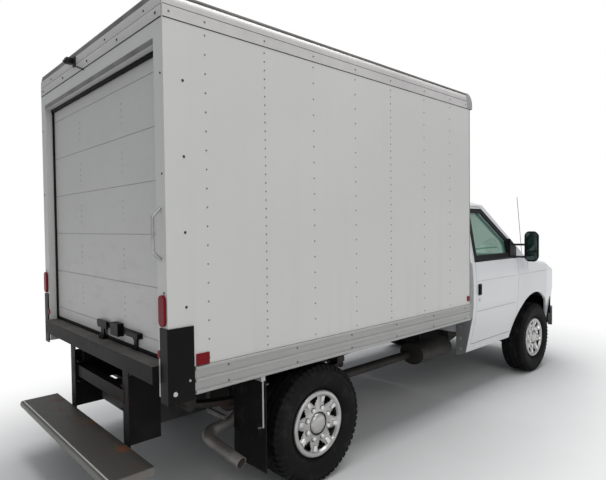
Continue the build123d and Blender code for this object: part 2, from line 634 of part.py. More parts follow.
def hood_prism(side_gap, end_gap):
    """The hood's outline seen from above, grown by side_gap, by more at the rear corners, and by end_gap."""
    with BuildPart() as prism:
        with BuildSketch(Plane.XY.offset(BELT_CREASE_Z - 260)):
            with BuildLine():
                rear_x = HOOD_REAR_X - end_gap
                front_x = HOOD_FRONT_X + end_gap
                rear_half = HOOD_REAR_HALF + HOOD_CORNER_GAPS * side_gap
                Polyline((rear_x, -rear_half), (front_x, -HOOD_FRONT_HALF - side_gap),
                         (front_x, HOOD_FRONT_HALF + side_gap), (rear_x, rear_half), close=True)
            make_face()
        extrude(amount=500)
    return prism.part


CAB_MOUNTS_X = (CAB_BACK_X + 170, CAB_BACK_X + 620, FIREWALL_X - 60)

# Cab panels, cut from one outer volume along the real parting lines

cab_outer = cabin_volume(0, CAB_BACK_X, WINDSCREEN_FOOT_X)
nose_outer = nose_volume(0)
nose_inner = nose_volume(FENDER_T)
cab_hollow = cabin_volume(CAB_WALL, CAB_BACK_X + 40, FIREWALL_X - 40, CAB_FLOOR_Z) - arch_cylinders(24, 560)
door_pocket = door_prism(JOINT_GAP)

with BuildPart() as fender_zone:
    block(DOOR_FRONT_X + JOINT_GAP, GRILLE_X, -CAB_HALF - 20, CAB_HALF + 20, ROCKER_Z - 10, BELT_Z - 2)
    # the cowl between the fenders belongs to the cab
    cowl_half = HOOD_REAR_HALF + HOOD_CORNER_GAPS * JOINT_GAP
    block(DOOR_FRONT_X, HOOD_REAR_X - HOOD_END_GAP, -cowl_half, cowl_half, BELT_CREASE_Z, BELT_Z,
          mode=Mode.SUBTRACT)

fender_skin = ((cab_outer + nose_outer) - section_prism(FENDER_T, CAB_BACK_X, FIREWALL_X) - nose_inner) \
    & fender_zone.part

with BuildPart() as cab_body:
    add(cab_outer)
    add(nose_outer)
    add(nose_inner, mode=Mode.SUBTRACT)
    add(cab_hollow, mode=Mode.SUBTRACT)
    add(fender_skin, mode=Mode.SUBTRACT)
    add(hood_prism(JOINT_GAP, HOOD_END_GAP), mode=Mode.SUBTRACT)
    block(CAB_BACK_X - 1, FIREWALL_X + 1, -850, 850, ROCKER_Z - 1, CAB_FLOOR_Z - CAB_FLOOR_T,
          mode=Mode.SUBTRACT)
    block(HOOD_REAR_X, NOSE_X, -CAB_HALF - 1, CAB_HALF + 1, ROCKER_Z - 1, BELT_Z + 40, mode=Mode.SUBTRACT)
    add(arch_cylinders(0, 560), mode=Mode.SUBTRACT)
    add(screen_prism(0), mode=Mode.SUBTRACT)
    add(door_pocket, mode=Mode.SUBTRACT)
    mirror(door_pocket, about=Plane.XZ, mode=Mode.SUBTRACT)
    # body mounts between the floor and the rails
    for x in CAB_MOUNTS_X:
        for side in (-1, 1):
            block(x - 45, x + 45, side * (RAIL_Y - 60), side * (RAIL_Y - 5), FRAME_LOW_Z + SEAT_GAP,
                  CAB_FLOOR_Z - CAB_FLOOR_T + 1)
    # hinge pins in the gap behind the hood
    for side in (-1, 1):
        rod((HOOD_PIN[0], side * 200, HOOD_PIN[1]), (HOOD_PIN[0], side * 260, HOOD_PIN[1]), HOOD_PIN_R)
        block(HOOD_REAR_X - HOOD_END_GAP - 8, HOOD_PIN[0], side * 205, side * 255, HOOD_PIN[1] - 5,
              HOOD_PIN[1] + 5)
keep("cab_body", cab_body)

with BuildPart() as fenders:
    add(fender_skin)
    add(arch_cylinders(0, 560), mode=Mode.SUBTRACT)
    add(hood_prism(JOINT_GAP, HOOD_END_GAP), mode=Mode.SUBTRACT)
    block(BUMPER_WRAP_X - 14, NOSE_X, -CAB_HALF, CAB_HALF, ROCKER_Z - 1, BUMPER_Z1 + 12, mode=Mode.SUBTRACT)
    # hinge pins in the gap ahead of each door
    for side in (-1, 1):
        for z0, z1 in DOOR_PINS_Z:
            rod((DOOR_PIN[0], side * DOOR_PIN[1], z0), (DOOR_PIN[0], side * DOOR_PIN[1], z1), DOOR_PIN_R)
            block(DOOR_PIN[0], DOOR_FRONT_X + JOINT_GAP + 2, side * (DOOR_PIN[1] - 2),
                  side * (DOOR_PIN[1] + 2),
                  z0 + 4, z1 - 4)
keep("fenders", fenders)

with BuildPart() as hood:
    add(nose_outer)
    add(nose_volume(HOOD_T), mode=Mode.SUBTRACT)
    add(hood_prism(0, 0), mode=Mode.INTERSECT)
keep("hood", hood)

with BuildPart() as windscreen:
    add(cab_outer)
    add(cabin_volume(GLASS_T, CAB_BACK_X - 10, WINDSCREEN_FOOT_X), mode=Mode.SUBTRACT)
    add(screen_prism(SEAT_GAP), mode=Mode.INTERSECT)
keep("windscreen", windscreen)

with BuildPart() as door:
    add(door_prism(0))
    add(section_prism(0, CAB_BACK_X, FRONT_AXLE_X), mode=Mode.INTERSECT)
    add(window_prism(0), mode=Mode.SUBTRACT)
keep_pair("door", door)

GLASS_INSET = 20.0

with BuildPart() as door_glass:
    add(window_prism(SEAT_GAP))
    add(section_prism(GLASS_INSET, CAB_BACK_X, FRONT_AXLE_X), mode=Mode.INTERSECT)
    add(section_prism(GLASS_INSET + GLASS_T, CAB_BACK_X - 10, FRONT_AXLE_X + 10), mode=Mode.SUBTRACT)
keep_pair("door_glass", door_glass)

BACK_PLATE_T = 10.0
BACK_PLATE_Y = 823.0
BACK_PLATE_FOOT_Z = 441.0

with BuildPart() as cab_back_plates:
    # a drilled flange at each rear lower corner of the cab
    with BuildSketch(Plane.YZ.offset(CAB_BACK_X - SEAT_GAP - BACK_PLATE_T)):
        with BuildLine():
            Polyline((-BACK_PLATE_Y, BACK_PLATE_FOOT_Z), (-BACK_PLATE_Y - 40, BACK_PLATE_FOOT_Z),
                     (-ROCKER_Y, ROCKER_Z), (-LOWER_CREASE_Y, LOWER_CREASE_Z),
                     (-BACK_PLATE_Y, LOWER_CREASE_Z), close=True)
        make_face()
        with Locations(*[(-BACK_PLATE_Y - 50, z) for z in (ROCKER_Z + 28, ROCKER_Z + 128, ROCKER_Z + 238)]):
            Circle(13, mode=Mode.SUBTRACT)
    extrude(amount=BACK_PLATE_T)
    mirror(about=Plane.XZ)
keep("cab_back_plates", cab_back_plates)

# Mirrors, one on each door

MIRROR_X = FRONT_AXLE_X - 528.0
MIRROR_Y0 = 1066.0
MIRROR_Y1 = 1210.0
MIRROR_Z0 = 1289.0
MIRROR_Z1 = 1604.0
MIRROR_DEPTH = 80.0
ARM_R = 11.0

with BuildPart() as mirror_head:
    # a rounded head with a flat face to the rear, two arms and the sail on the door's corner
    with BuildSketch(Plane.YZ.offset(MIRROR_X)):
        with Locations((-(MIRROR_Y0 + MIRROR_Y1) / 2, (MIRROR_Z0 + MIRROR_Z1) / 2)):
            RectangleRounded(MIRROR_Y1 - MIRROR_Y0, MIRROR_Z1 - MIRROR_Z0, 52)
    extrude(amount=MIRROR_DEPTH, taper=18)
    for z in (MIRROR_Z0 + 46, MIRROR_Z1 - 140):
        rod((MIRROR_X + 25, -MIRROR_Y0 - 30, z), (DOOR_FRONT_X - 40, -GREENHOUSE_Y + 8, z), ARM_R)
    with BuildSketch(Plane.XZ.offset(GREENHOUSE_Y - 26)):
        with BuildLine():
            Polyline((WINDOW_FRONT_X + 2, WINDOW_Z0 + 4), (DOOR_FRONT_X - 4, WINDOW_Z0 + 4),
                     (DOOR_FRONT_X - 4, pillar_height(84, DOOR_FRONT_X - 4)),
                     (WINDOW_FRONT_X + 2, pillar_height(84, WINDOW_FRONT_X)), close=True)
        make_face()
    extrude(amount=34)
    add(door.part, mode=Mode.SUBTRACT)
    add(section_prism(GLASS_INSET, CAB_BACK_X, FRONT_AXLE_X), mode=Mode.SUBTRACT)
keep_pair("mirror", mirror_head)

# Nose: grille panel, lamps and bumper

GRILLE_Z0 = 690.0
GRILLE_T = 40.0
LAMP_Y0 = 560.0
LAMP_Y1 = 812.0
LAMP_Z0 = 800.0
LAMP_Z1 = 990.0

with BuildPart() as grille:
    with BuildSketch(Plane.YZ.offset(GRILLE_X + SEAT_GAP)):
        with BuildLine():
            Polyline((-800, GRILLE_Z0), (800, GRILLE_Z0), (846, 860), (846, 1018), (786, 1066), (0, 1096),
                     (-786, 1066),
                     (-846, 1018), (-846, 860), (-800, GRILLE_Z0))
        make_face()
    extrude(amount=GRILLE_T)
    # the open mouth, crossed by bars
    block(GRILLE_X - 1, GRILLE_X + GRILLE_T + 1, -LAMP_Y0 + 36, LAMP_Y0 - 36, GRILLE_Z0 + 50, 1040,
          mode=Mode.SUBTRACT)
    for z in (GRILLE_Z0 + 140, GRILLE_Z0 + 232):
        block(GRILLE_X + 6, GRILLE_X + GRILLE_T - 4, -LAMP_Y0 + 34, LAMP_Y0 - 34, z - 16, z + 16)
    for y in (-260, 0, 260):
        block(GRILLE_X + 10, GRILLE_X + GRILLE_T - 8, y - 9, y + 9, GRILLE_Z0 + 48, 1042)
    for side in (-1, 1):
        block(GRILLE_X + 12, GRILLE_X + GRILLE_T + 1, side * LAMP_Y0, side * LAMP_Y1, LAMP_Z0 - 74, LAMP_Z1,
              mode=Mode.SUBTRACT)
keep("grille", grille)

with BuildPart() as headlamps:
    for side in (-1, 1):
        y0, y1 = side * (LAMP_Y0 + SEAT_GAP), side * (LAMP_Y1 - SEAT_GAP)
        block(GRILLE_X + 12 + SEAT_GAP, GRILLE_X + GRILLE_T + 6, y0, y1, LAMP_Z0, LAMP_Z1 - SEAT_GAP)
keep("headlamps", headlamps)

with BuildPart() as turn_lamps:
    for side in (-1, 1):
        y0, y1 = side * (LAMP_Y0 + SEAT_GAP), side * (LAMP_Y1 - SEAT_GAP)
        block(GRILLE_X + 12 + SEAT_GAP, GRILLE_X + GRILLE_T + 4, y0, y1, LAMP_Z0 - 74 + SEAT_GAP, LAMP_Z0 - 8)
keep("turn_lamps", turn_lamps)

with BuildPart() as front_bumper:
    with BuildSketch(Plane.XY.offset(BUMPER_Z0)):
        with BuildLine():
            corner = NOSE_X - 150
            ThreePointArc((corner, -BUMPER_HALF + 40), (NOSE_X, 0), (corner, BUMPER_HALF - 40))
            Polyline((corner, BUMPER_HALF - 40), (BUMPER_WRAP_X, BUMPER_HALF),
                     (BUMPER_WRAP_X, BUMPER_HALF - BUMPER_T),
                     (corner - 30, BUMPER_HALF - 40 - BUMPER_T))
            ThreePointArc((corner - 30, BUMPER_HALF - 40 - BUMPER_T), (NOSE_X - BUMPER_T, 0),
                          (corner - 30, BUMPER_T + 40 - BUMPER_HALF))
            Polyline((corner - 30, BUMPER_T + 40 - BUMPER_HALF), (BUMPER_WRAP_X, BUMPER_T - BUMPER_HALF),
                     (BUMPER_WRAP_X, -BUMPER_HALF), (corner, -BUMPER_HALF + 40))
        make_face()
    extrude(amount=BUMPER_Z1 - BUMPER_Z0)
    for side in (-1, 1):
        block(FRAME_FRONT_X + SEAT_GAP, NOSE_X - BUMPER_T - 10, side * (RAIL_Y - 50), side * RAIL_Y,
              FRAME_LOW_Z - 130, FRAME_LOW_Z - 20)
keep("front_bumper", front_bumper)

# Cab interior

SEAT_Y = 470.0
SEAT_W = 500.0
SEAT_REAR_X = CAB_BACK_X + 215.0
SEAT_BASE_Z = 880.0
CUSHION_T = 120.0
CUSHION_L = 500.0
BACK_T = 120.0
BACK_H = 620.0
RECLINE = 12.0

with BuildPart() as seat_pedestals:
    for side in (-1, 1):
        block(SEAT_REAR_X + 60, SEAT_REAR_X + 440, side * (SEAT_Y - 190), side * (SEAT_Y + 190),
              CAB_FLOOR_Z + SEAT_GAP,
              SEAT_BASE_Z)
keep("seat_pedestals", seat_pedestals)

with BuildPart() as seats:
    # cushion, backrest and head restraint of each seat as one padded form
    for side in (-1, 1):
        with BuildSketch(Plane.XZ.offset(-side * SEAT_Y - SEAT_W / 2)):
            with BuildLine():
                z0 = SEAT_BASE_Z + SEAT_GAP
                z1 = z0 + CUSHION_T
                lean = radians(RECLINE)
                top = (SEAT_REAR_X - BACK_H * sin(lean), z1 + BACK_H * cos(lean))
                foot = (SEAT_REAR_X + BACK_T, z1)
                Polyline((SEAT_REAR_X, z0), (SEAT_REAR_X + BACK_T + CUSHION_L, z0),
                         (SEAT_REAR_X + BACK_T + CUSHION_L, z1 + 20), foot, (top[0] + BACK_T * 0.8, top[1]),
                         top,
                         (SEAT_REAR_X, z0 + 60), close=True)
            make_face()
        extrude(amount=SEAT_W)
    fillet(seats.edges().filter_by(Axis.Y), 24)
    for side in (-1, 1):
        with Locations(Location((top[0] + 40, side * SEAT_Y, top[1] + 80), (0, -RECLINE, 0))):
            Box(90, 260, 190)
keep("seats", seats)

DASH_X0 = FIREWALL_X - 350.0
DASH_Z0 = 1010.0
DASH_Z1 = 1330.0
ENGINE_COVER_HALF = 205.0

with BuildPart() as dashboard:
    with BuildSketch(Plane.XZ.offset(100 - CAB_HALF)):
        with BuildLine():
            Polyline((FIREWALL_X - 41, DASH_Z0), (FIREWALL_X - 41, DASH_Z1 + 20), (DASH_X0 + 90, DASH_Z1),
                     (DASH_X0, DASH_Z1 - 60), (DASH_X0 + 30, DASH_Z0 + 60), (DASH_X0 + 110, DASH_Z0),
                     close=True)
        make_face()
    extrude(amount=2 * (CAB_HALF - 100))
    # the engine cover between the footwells
    with BuildSketch(Plane.XZ.offset(-ENGINE_COVER_HALF)):
        with BuildLine():
            Polyline((FIREWALL_X - 41, CAB_FLOOR_Z + SEAT_GAP), (FIREWALL_X - 41, DASH_Z0 + 40),
                     (DASH_X0 + 60, DASH_Z0 + 40), (FIREWALL_X - 640, CAB_FLOOR_Z + 300),
                     (FIREWALL_X - 700, CAB_FLOOR_Z + SEAT_GAP), close=True)
        make_face()
    extrude(amount=2 * ENGINE_COVER_HALF)
    add(cabin_volume(CAB_WALL + 8, CAB_BACK_X, FIREWALL_X), mode=Mode.INTERSECT)
    add(arch_cylinders(26, 555), mode=Mode.SUBTRACT)
keep("dashboard", dashboard)

WHEEL_R = 190.0
GRIP_R = 14.0
COLUMN_TILT = 28.0
STEER_Y = 440.0

with BuildPart() as grip:
    # an eight-sided ring, turned about the column
    with BuildSketch(Plane.XZ):
        with Locations((WHEEL_R, 0)):
            RegularPolygon(GRIP_R, 8)
    revolve(axis=Axis.Z)

with BuildPart() as steering_wheel:
    hub = Vector(DASH_X0 - 120, STEER_Y, 1270)
    axis_back = Vector(-cos(radians(COLUMN_TILT)), 0, sin(radians(COLUMN_TILT)))
    face = Plane(origin=hub, x_dir=(0, 1, 0), z_dir=axis_back)
    with Locations(face.location):
        add(grip.part)
        Cylinder(62, 34)
        for turn in (0, 90, 180):
            with Locations(Location((0, 0, 0), (0, 0, turn))):
                with Locations((WHEEL_R / 2 + 20, 0, 0)):
                    Box(WHEEL_R - 36, 30, 12)
    rod(tuple(hub), tuple(hub - axis_back * 150), 38)
    add(dashboard.part, mode=Mode.SUBTRACT)
keep("steering_wheel", steering_wheel)


# Box body

INNER_HALF = BOX_HALF - WALL_T - SEAT_GAP
CROSS_COUNT = 8
CROSS_W = 44.0
CROSS_Z0 = SKIRT_Z0 + 6

with BuildPart() as box_floor:
    block(BOX_REAR_X + POST_DEPTH, BOX_FRONT_X - WALL_T, -INNER_HALF, INNER_HALF, FLOOR_Z - FLOOR_T, FLOOR_Z)
keep("box_floor", box_floor)

with BuildPart() as floor_crossmembers:
    pitch = (BOX_LENGTH - 240) / (CROSS_COUNT - 1)
    for n in range(CROSS_COUNT):
        x = BOX_REAR_X + 120 + n * pitch
        block(x - CROSS_W / 2, x + CROSS_W / 2, -INNER_HALF, INNER_HALF, CROSS_Z0, FLOOR_Z - FLOOR_T)
keep("floor_crossmembers", floor_crossmembers)

with BuildPart() as floor_sills:
    for side in (-1, 1):
        block(BOX_REAR_X + POST_DEPTH, BOX_FRONT_X - WALL_T, side * (RAIL_Y - RAIL_FLANGE), side * RAIL_Y,
              FRAME_TOP_Z + SEAT_GAP, CROSS_Z0)
keep("floor_sills", floor_sills)

SIDE_X0 = BOX_REAR_X + POST_SIDE_W
SIDE_X1 = BOX_FRONT_X - CORNER_R

with BuildPart() as box_sides:
    block(SIDE_X0, SIDE_X1, -BOX_HALF, WALL_T - BOX_HALF, SKIRT_Z1, RAIL_Z0)
    mirror(about=Plane.XZ)
keep("box_sides", box_sides)

with BuildPart() as box_front:
    block(BOX_FRONT_X - WALL_T, BOX_FRONT_X - 4, CORNER_R - BOX_HALF, BOX_HALF - CORNER_R, SKIRT_Z0, RAIL_Z0)
keep("box_front", box_front)

with BuildPart() as corner_posts:
    with BuildSketch(Plane.XY.offset(SKIRT_Z0)):
        with BuildLine():
            x1 = BOX_FRONT_X
            Line((x1 - CORNER_R, -BOX_HALF), (x1 - CORNER_R, WALL_T - BOX_HALF))
            Line((x1 - CORNER_R, WALL_T - BOX_HALF), (x1 - WALL_T, WALL_T - BOX_HALF))
            Line((x1 - WALL_T, WALL_T - BOX_HALF), (x1 - WALL_T, CORNER_R - BOX_HALF))
            Line((x1 - WALL_T, CORNER_R - BOX_HALF), (x1, CORNER_R - BOX_HALF))
            RadiusArc((x1, CORNER_R - BOX_HALF), (x1 - CORNER_R, -BOX_HALF), CORNER_R)
        make_face()
    extrude(amount=RAIL_Z0 - SKIRT_Z0)
    mirror(about=Plane.XZ)
keep("corner_posts", corner_posts)

RAIL_PROUD = 3.0
RAIL_LEDGE = 80.0
FRONT_LEDGE = 52.0
RAIL_LIP = 14.0
RAIL_ROUND = 48.0


def rail_profile(face, ledge):
    """The roof rail's section: outer face at the distance face, inner edge a ledge's width inward."""
    Polyline((face + RAIL_PROUD, RAIL_Z0), (face + RAIL_PROUD, RAIL_SEAM_Z), (face, RAIL_SEAM_Z + 4),
             (face, RAIL_Z1 - RAIL_ROUND))
    ThreePointArc((face, RAIL_Z1 - RAIL_ROUND), (face - 0.3 * RAIL_ROUND, RAIL_Z1 - 0.3 * RAIL_ROUND),
                  (face - RAIL_ROUND, RAIL_Z1))
    Polyline((face - RAIL_ROUND, RAIL_Z1), (face - ledge, RAIL_Z1), (face - ledge, RAIL_Z1 - RAIL_LIP),
             (face - RAIL_ROUND, RAIL_Z1 - RAIL_LIP), (face - 20, RAIL_Z1 - RAIL_ROUND),
             (face - 20, RAIL_Z0 + 20),
             (face - WALL_T, RAIL_Z0 + 20), (face - WALL_T, RAIL_Z0), (face + RAIL_PROUD, RAIL_Z0))


with BuildPart() as rail_zone:
    # the box's outline from above, rounded at its front corners
    with BuildSketch(Plane.XY.offset(RAIL_Z0 - 10)):
        with Locations(((BOX_REAR_X + BOX_FRONT_X) / 2, 0)):
            RectangleRounded(BOX_LENGTH, BOX_WIDTH + 2 * RAIL_PROUD, CORNER_R)
        with Locations((BOX_REAR_X + CORNER_R, 0)):
            Rectangle(2 * CORNER_R, BOX_WIDTH + 2 * RAIL_PROUD)
    extrude(amount=RAIL_Z1 - RAIL_Z0 + 20)

with BuildPart() as roof_rails:
    with BuildSketch(Plane.YZ.offset(BOX_REAR_X)):
        with BuildLine():
            rail_profile(BOX_HALF, RAIL_LEDGE)
        make_face()
        mirror(about=Plane.YZ)
    extrude(amount=BOX_LENGTH)
    add(rail_zone.part, mode=Mode.INTERSECT)
keep("roof_rails", roof_rails)

with BuildPart() as front_rail:
    with BuildSketch(Plane.XZ.offset(RAIL_LEDGE - BOX_HALF)):
        with BuildLine():
            rail_profile(BOX_FRONT_X - RAIL_PROUD, FRONT_LEDGE)
        make_face()
    extrude(amount=2 * (BOX_HALF - RAIL_LEDGE))
keep("front_rail", front_rail)

with BuildPart() as box_roof:
    with BuildSketch(Plane.YZ.offset(BOX_REAR_X + 12)):
        with BuildLine():
            half = BOX_HALF - RAIL_LEDGE + 10
            z = RAIL_Z1 + SEAT_GAP
            ThreePointArc((-half, z + 3), (0, z + ROOF_CROWN), (half, z + 3))
            Line((half, z + 3), (half, z))
            Line((half, z), (-half, z))
            Line((-half, z), (-half, z + 3))
        make_face()
    extrude(amount=BOX_LENGTH - 60)
    block(BOX_REAR_X + POST_DEPTH + 30, BOX_FRONT_X - FRONT_LEDGE - 5, RAIL_LEDGE + 2 - BOX_HALF,
          BOX_HALF - RAIL_LEDGE - 2, RAIL_Z1 - 3, RAIL_Z1 + 2)
keep("box_roof", box_roof)

with BuildPart() as side_rails:
    # the rub rail along each side: a web with three outward ridges
    with BuildSketch(Plane.YZ.offset(BOX_REAR_X + POST_SIDE_W + 6)):
        with BuildLine():
            h = SKIRT_Z1 - SKIRT_Z0
            base = -BOX_HALF - 2
            ridge = base - 12
            steps = [(base + 14, SKIRT_Z0)]
            for n in range(3):
                low = SKIRT_Z0 + n * (h - 22) / 2
                steps += [(base if n else ridge + 4, low), (ridge, low + 5), (ridge, low + 17),
                          (base, low + 22)]
            steps += [(base + 14, SKIRT_Z1)]
            Polyline(*steps, close=True)
        make_face()
    extrude(amount=BOX_LENGTH - POST_SIDE_W - 6 - CORNER_R - SEAT_GAP)
    block(SIDE_X0 + 6, SIDE_X1, -BOX_HALF + 11.7, WALL_T - BOX_HALF - 1, SKIRT_Z1 - 14, SKIRT_Z1 - SEAT_GAP)
    mirror(about=Plane.XZ)
keep("side_rails", side_rails)

POST_Z0 = SKIRT_Z0

with BuildPart() as rear_frame:
    # posts that wrap the rear corners, joined by the header over the door
    with BuildSketch(Plane.XY.offset(POST_Z0)):
        with BuildLine():
            Polyline((BOX_REAR_X, -DOOR_HALF), (BOX_REAR_X, -BOX_HALF), (BOX_REAR_X + POST_SIDE_W, -BOX_HALF),
                     (BOX_REAR_X + POST_SIDE_W, WALL_T - BOX_HALF),
                     (BOX_REAR_X + POST_DEPTH, WALL_T - BOX_HALF),
                     (BOX_REAR_X + POST_DEPTH, -DOOR_HALF), close=True)
        make_face()
        mirror(about=Plane.XZ)
    extrude(amount=RAIL_Z0 - POST_Z0)
    block(BOX_REAR_X, BOX_REAR_X + POST_DEPTH, -DOOR_HALF, DOOR_HALF, HEADER_Z, RAIL_Z1 - RAIL_LIP)
keep("rear_frame", rear_frame)

with BuildPart() as rear_sill:
    block(BOX_REAR_X - SILL_REACH, BOX_REAR_X + POST_DEPTH - SEAT_GAP, -DOOR_HALF + SEAT_GAP,
          DOOR_HALF - SEAT_GAP,
          FLOOR_Z - SILL_H, FLOOR_Z)
    # shallow grooves along its top
    for n in range(SILL_GROOVES):
        x = BOX_REAR_X - SILL_REACH + 14 + n * 16
        block(x, x + 6, -DOOR_HALF, DOOR_HALF, FLOOR_Z - 3, FLOOR_Z + 1, mode=Mode.SUBTRACT)
keep("rear_sill", rear_sill)

with BuildPart() as roll_door:
    # a curtain of flat panels, grooved at the hinge lines
    x0 = BOX_REAR_X + POST_DEPTH + SEAT_GAP
    block(x0, x0 + CURTAIN_T, -DOOR_HALF - 30, DOOR_HALF + 30, FLOOR_Z + CURTAIN_GAP, HEADER_Z + 60)
    for n in range(-1, 5):
        z = CURTAIN_FIRST_SEAM_Z + n * CURTAIN_PITCH
        block(x0 - 1, x0 + 5, -DOOR_HALF - 31, DOOR_HALF + 31, z - 2, z + 2, mode=Mode.SUBTRACT)
keep("roll_door", roll_door)

LATCH_Y = -285.0
LATCH_Z = 1062.0
LATCH_BAR = (-600.0, 60.0)

with BuildPart() as door_latch:
    # a flat bar with a grip at one end and a hasp at the other, turned by the block between them
    x1 = BOX_REAR_X + POST_DEPTH
    block(x1 - 14, x1, *LATCH_BAR, LATCH_Z - 16, LATCH_Z + 16)
    block(x1 - 40, x1, LATCH_Y - 55, LATCH_Y + 55, LATCH_Z - 38, LATCH_Z + 38)
    block(x1 - 34, x1 - 14, LATCH_BAR[0], LATCH_BAR[0] + 150, LATCH_Z - 12, LATCH_Z + 14)
    block(x1 - 26, x1 - 14, LATCH_BAR[1] - 190, LATCH_BAR[1] - 40, LATCH_Z - 24, LATCH_Z + 24)
    # the hasp reaches down to its keeper on the sill
    block(x1 - 26, x1 - 14, LATCH_BAR[1] - 150, LATCH_BAR[1] - 100, FLOOR_Z + 20, LATCH_Z)
    block(x1 - 36, x1 - 4, LATCH_BAR[1] - 160, LATCH_BAR[1] - 90, FLOOR_Z + SEAT_GAP, FLOOR_Z + 24)
keep("door_latch", door_latch)

with BuildPart() as corner_boots:
    with BuildSketch(Plane.XY.offset(BOOT_Z0)):
        with BuildLine():
            r, s, t = BOX_REAR_X - SEAT_GAP, -BOX_HALF - SEAT_GAP, BOOT_T
            Polyline((r, s + BOOT_REAR_W), (r - t, s + BOOT_REAR_W), (r - t, s - t), (r + POST_SIDE_W, s - t),
                     (r + POST_SIDE_W, s), (r, s), close=True)
        make_face()
        mirror(about=Plane.XZ)
    extrude(amount=BOOT_Z1 - BOOT_Z0)
keep("corner_boots", corner_boots)

SUPPORT_Y = 455.0
SUPPORT_W = 80.0
SUPPORT_L = 215.0
SLOT_IN = 26.0
SLOT_W = 10.0
SLOT_Z = 640.0
SLOT_H = 120.0
STEP_Z = 405.0
STEP_HALF = BOX_HALF - 196
STEP_T = 48.0
STEP_FRONT_X = BOX_REAR_X + 10.0
PLATE_T = 8.0

with BuildPart() as step_supports:
    for side in (-1, 1):
        x0 = BOX_REAR_X + 14
        block(x0, x0 + PLATE_T, side * (SUPPORT_Y - SUPPORT_W / 2), side * (SUPPORT_Y + SUPPORT_W / 2),
              STEP_Z - 66,
              FLOOR_Z - SILL_H - SEAT_GAP)
        block(x0 - 1, x0 + PLATE_T + 1, side * (SUPPORT_Y - SLOT_IN), side * (SUPPORT_Y - SLOT_IN + SLOT_W),
              SLOT_Z,
              SLOT_Z + SLOT_H, mode=Mode.SUBTRACT)
        block(x0, x0 + SUPPORT_L, side * SUPPORT_Y, side * (SUPPORT_Y + PLATE_T), STEP_Z - 10, SKIRT_Z0 - 2)
        block(STEP_REAR_X + 40, x0 + PLATE_T, side * (SUPPORT_Y - 25), side * (SUPPORT_Y + 25), STEP_Z - 66,
              STEP_Z - STEP_T - SEAT_GAP)
keep("step_supports", step_supports)

with BuildPart() as drop_step:
    with BuildSketch(Plane.XZ.offset(-STEP_HALF)):
        with BuildLine():
            x0, x1 = STEP_REAR_X, STEP_FRONT_X
            Line((x1, STEP_Z), (x1, STEP_Z - STEP_T))
            Line((x1, STEP_Z - STEP_T), (x0 + 20, STEP_Z - STEP_T))
            RadiusArc((x0 + 20, STEP_Z - STEP_T), (x0, STEP_Z - STEP_T + 20), 20)
            Line((x0, STEP_Z - STEP_T + 20), (x0, STEP_Z - 20))
            RadiusArc((x0, STEP_Z - 20), (x0 + 20, STEP_Z), 20)
            Line((x0 + 20, STEP_Z), (x1, STEP_Z))
        make_face()
    extrude(amount=2 * STEP_HALF)
keep("drop_step", drop_step)

FLAP_X = REAR_AXLE_X - 440.0
FLAP_Y1 = BOX_HALF - 12
FLAP_Y0 = FLAP_Y1 - 326
FLAP_Z0 = 215.0
FLAP_T = 8.0

with BuildPart() as mud_flaps:
    block(FLAP_X - FLAP_T, FLAP_X, -FLAP_Y0, -FLAP_Y1, FLAP_Z0, SKIRT_Z0 - 2)
    mirror(about=Plane.XZ)
keep("mud_flaps", mud_flaps)

with BuildPart() as flap_hangers:
    # a bar out from the long sill over each flap, with a rod down its outer edge
    x1 = FLAP_X - FLAP_T - SEAT_GAP
    block(x1 - 30, x1, -FLAP_Y1, -RAIL_Y - SEAT_GAP, SKIRT_Z0 - 36, SKIRT_Z0 + 4)
    rod((x1 - 7, -FLAP_Y1 + 14, 490), (x1 - 7, -FLAP_Y1 + 14, SKIRT_Z0), 6)
    rod((x1 - 7, -FLAP_Y1 + 14, 494), (x1 - 7, -FLAP_Y1 + 60, 474), 6)
    mirror(about=Plane.XZ)
keep("flap_hangers", flap_hangers)

LAMP_MID_Y = BOX_HALF - 38
LAMP_MID_Z = 1260.0

with BuildPart() as tail_lamps:
    with BuildSketch(Plane.YZ.offset(BOX_REAR_X - SEAT_GAP)):
        with Locations((-LAMP_MID_Y, LAMP_MID_Z)):
            SlotOverall(160, 58, rotation=90)
    extrude(amount=-16)
    mirror(about=Plane.XZ)
keep("tail_lamps", tail_lamps)

MARKER_T = 8.0

with BuildPart() as marker_lamps:
    # a square lens on each jamb, an oblong one behind each side wall's ends
    block(BOX_REAR_X - MARKER_T, BOX_REAR_X - SEAT_GAP, -DOOR_HALF - 25, -DOOR_HALF - 1, 1012, 1048)
    block(SIDE_X0 + 14, SIDE_X0 + 92, -BOX_HALF - MARKER_T, -BOX_HALF - SEAT_GAP, 958, 1018)
    block(SIDE_X1 - 42, SIDE_X1 - 6, -BOX_HALF - MARKER_T, -BOX_HALF - SEAT_GAP, 985, 1030)
    mirror(about=Plane.XZ)
keep("marker_lamps", marker_lamps)

HANDLE_Y = 54 - BOX_HALF
HANDLE_Z0 = 1515.0
HANDLE_Z1 = 1780.0
HANDLE_OUT = 44.0

with BuildPart() as grab_handle:
    x = BOX_REAR_X - SEAT_GAP
    with BuildLine() as handle_line:
        # a bent rod: its ends slant out of the post
        FilletPolyline((x, HANDLE_Y, HANDLE_Z1), (x - HANDLE_OUT, HANDLE_Y, HANDLE_Z1 - HANDLE_OUT),
                       (x - HANDLE_OUT, HANDLE_Y, HANDLE_Z0 + HANDLE_OUT), (x, HANDLE_Y, HANDLE_Z0),
                       radius=22)
    with BuildSketch(Plane(origin=(x, HANDLE_Y, HANDLE_Z1), z_dir=(-1, 0, -1))):
        Circle(8)
    sweep(path=handle_line.wires()[0])
    block(x, x + 12, HANDLE_Y - 12, HANDLE_Y + 12, HANDLE_Z0 - 12, HANDLE_Z1 + 12, mode=Mode.SUBTRACT)
keep("grab_handle", grab_handle)

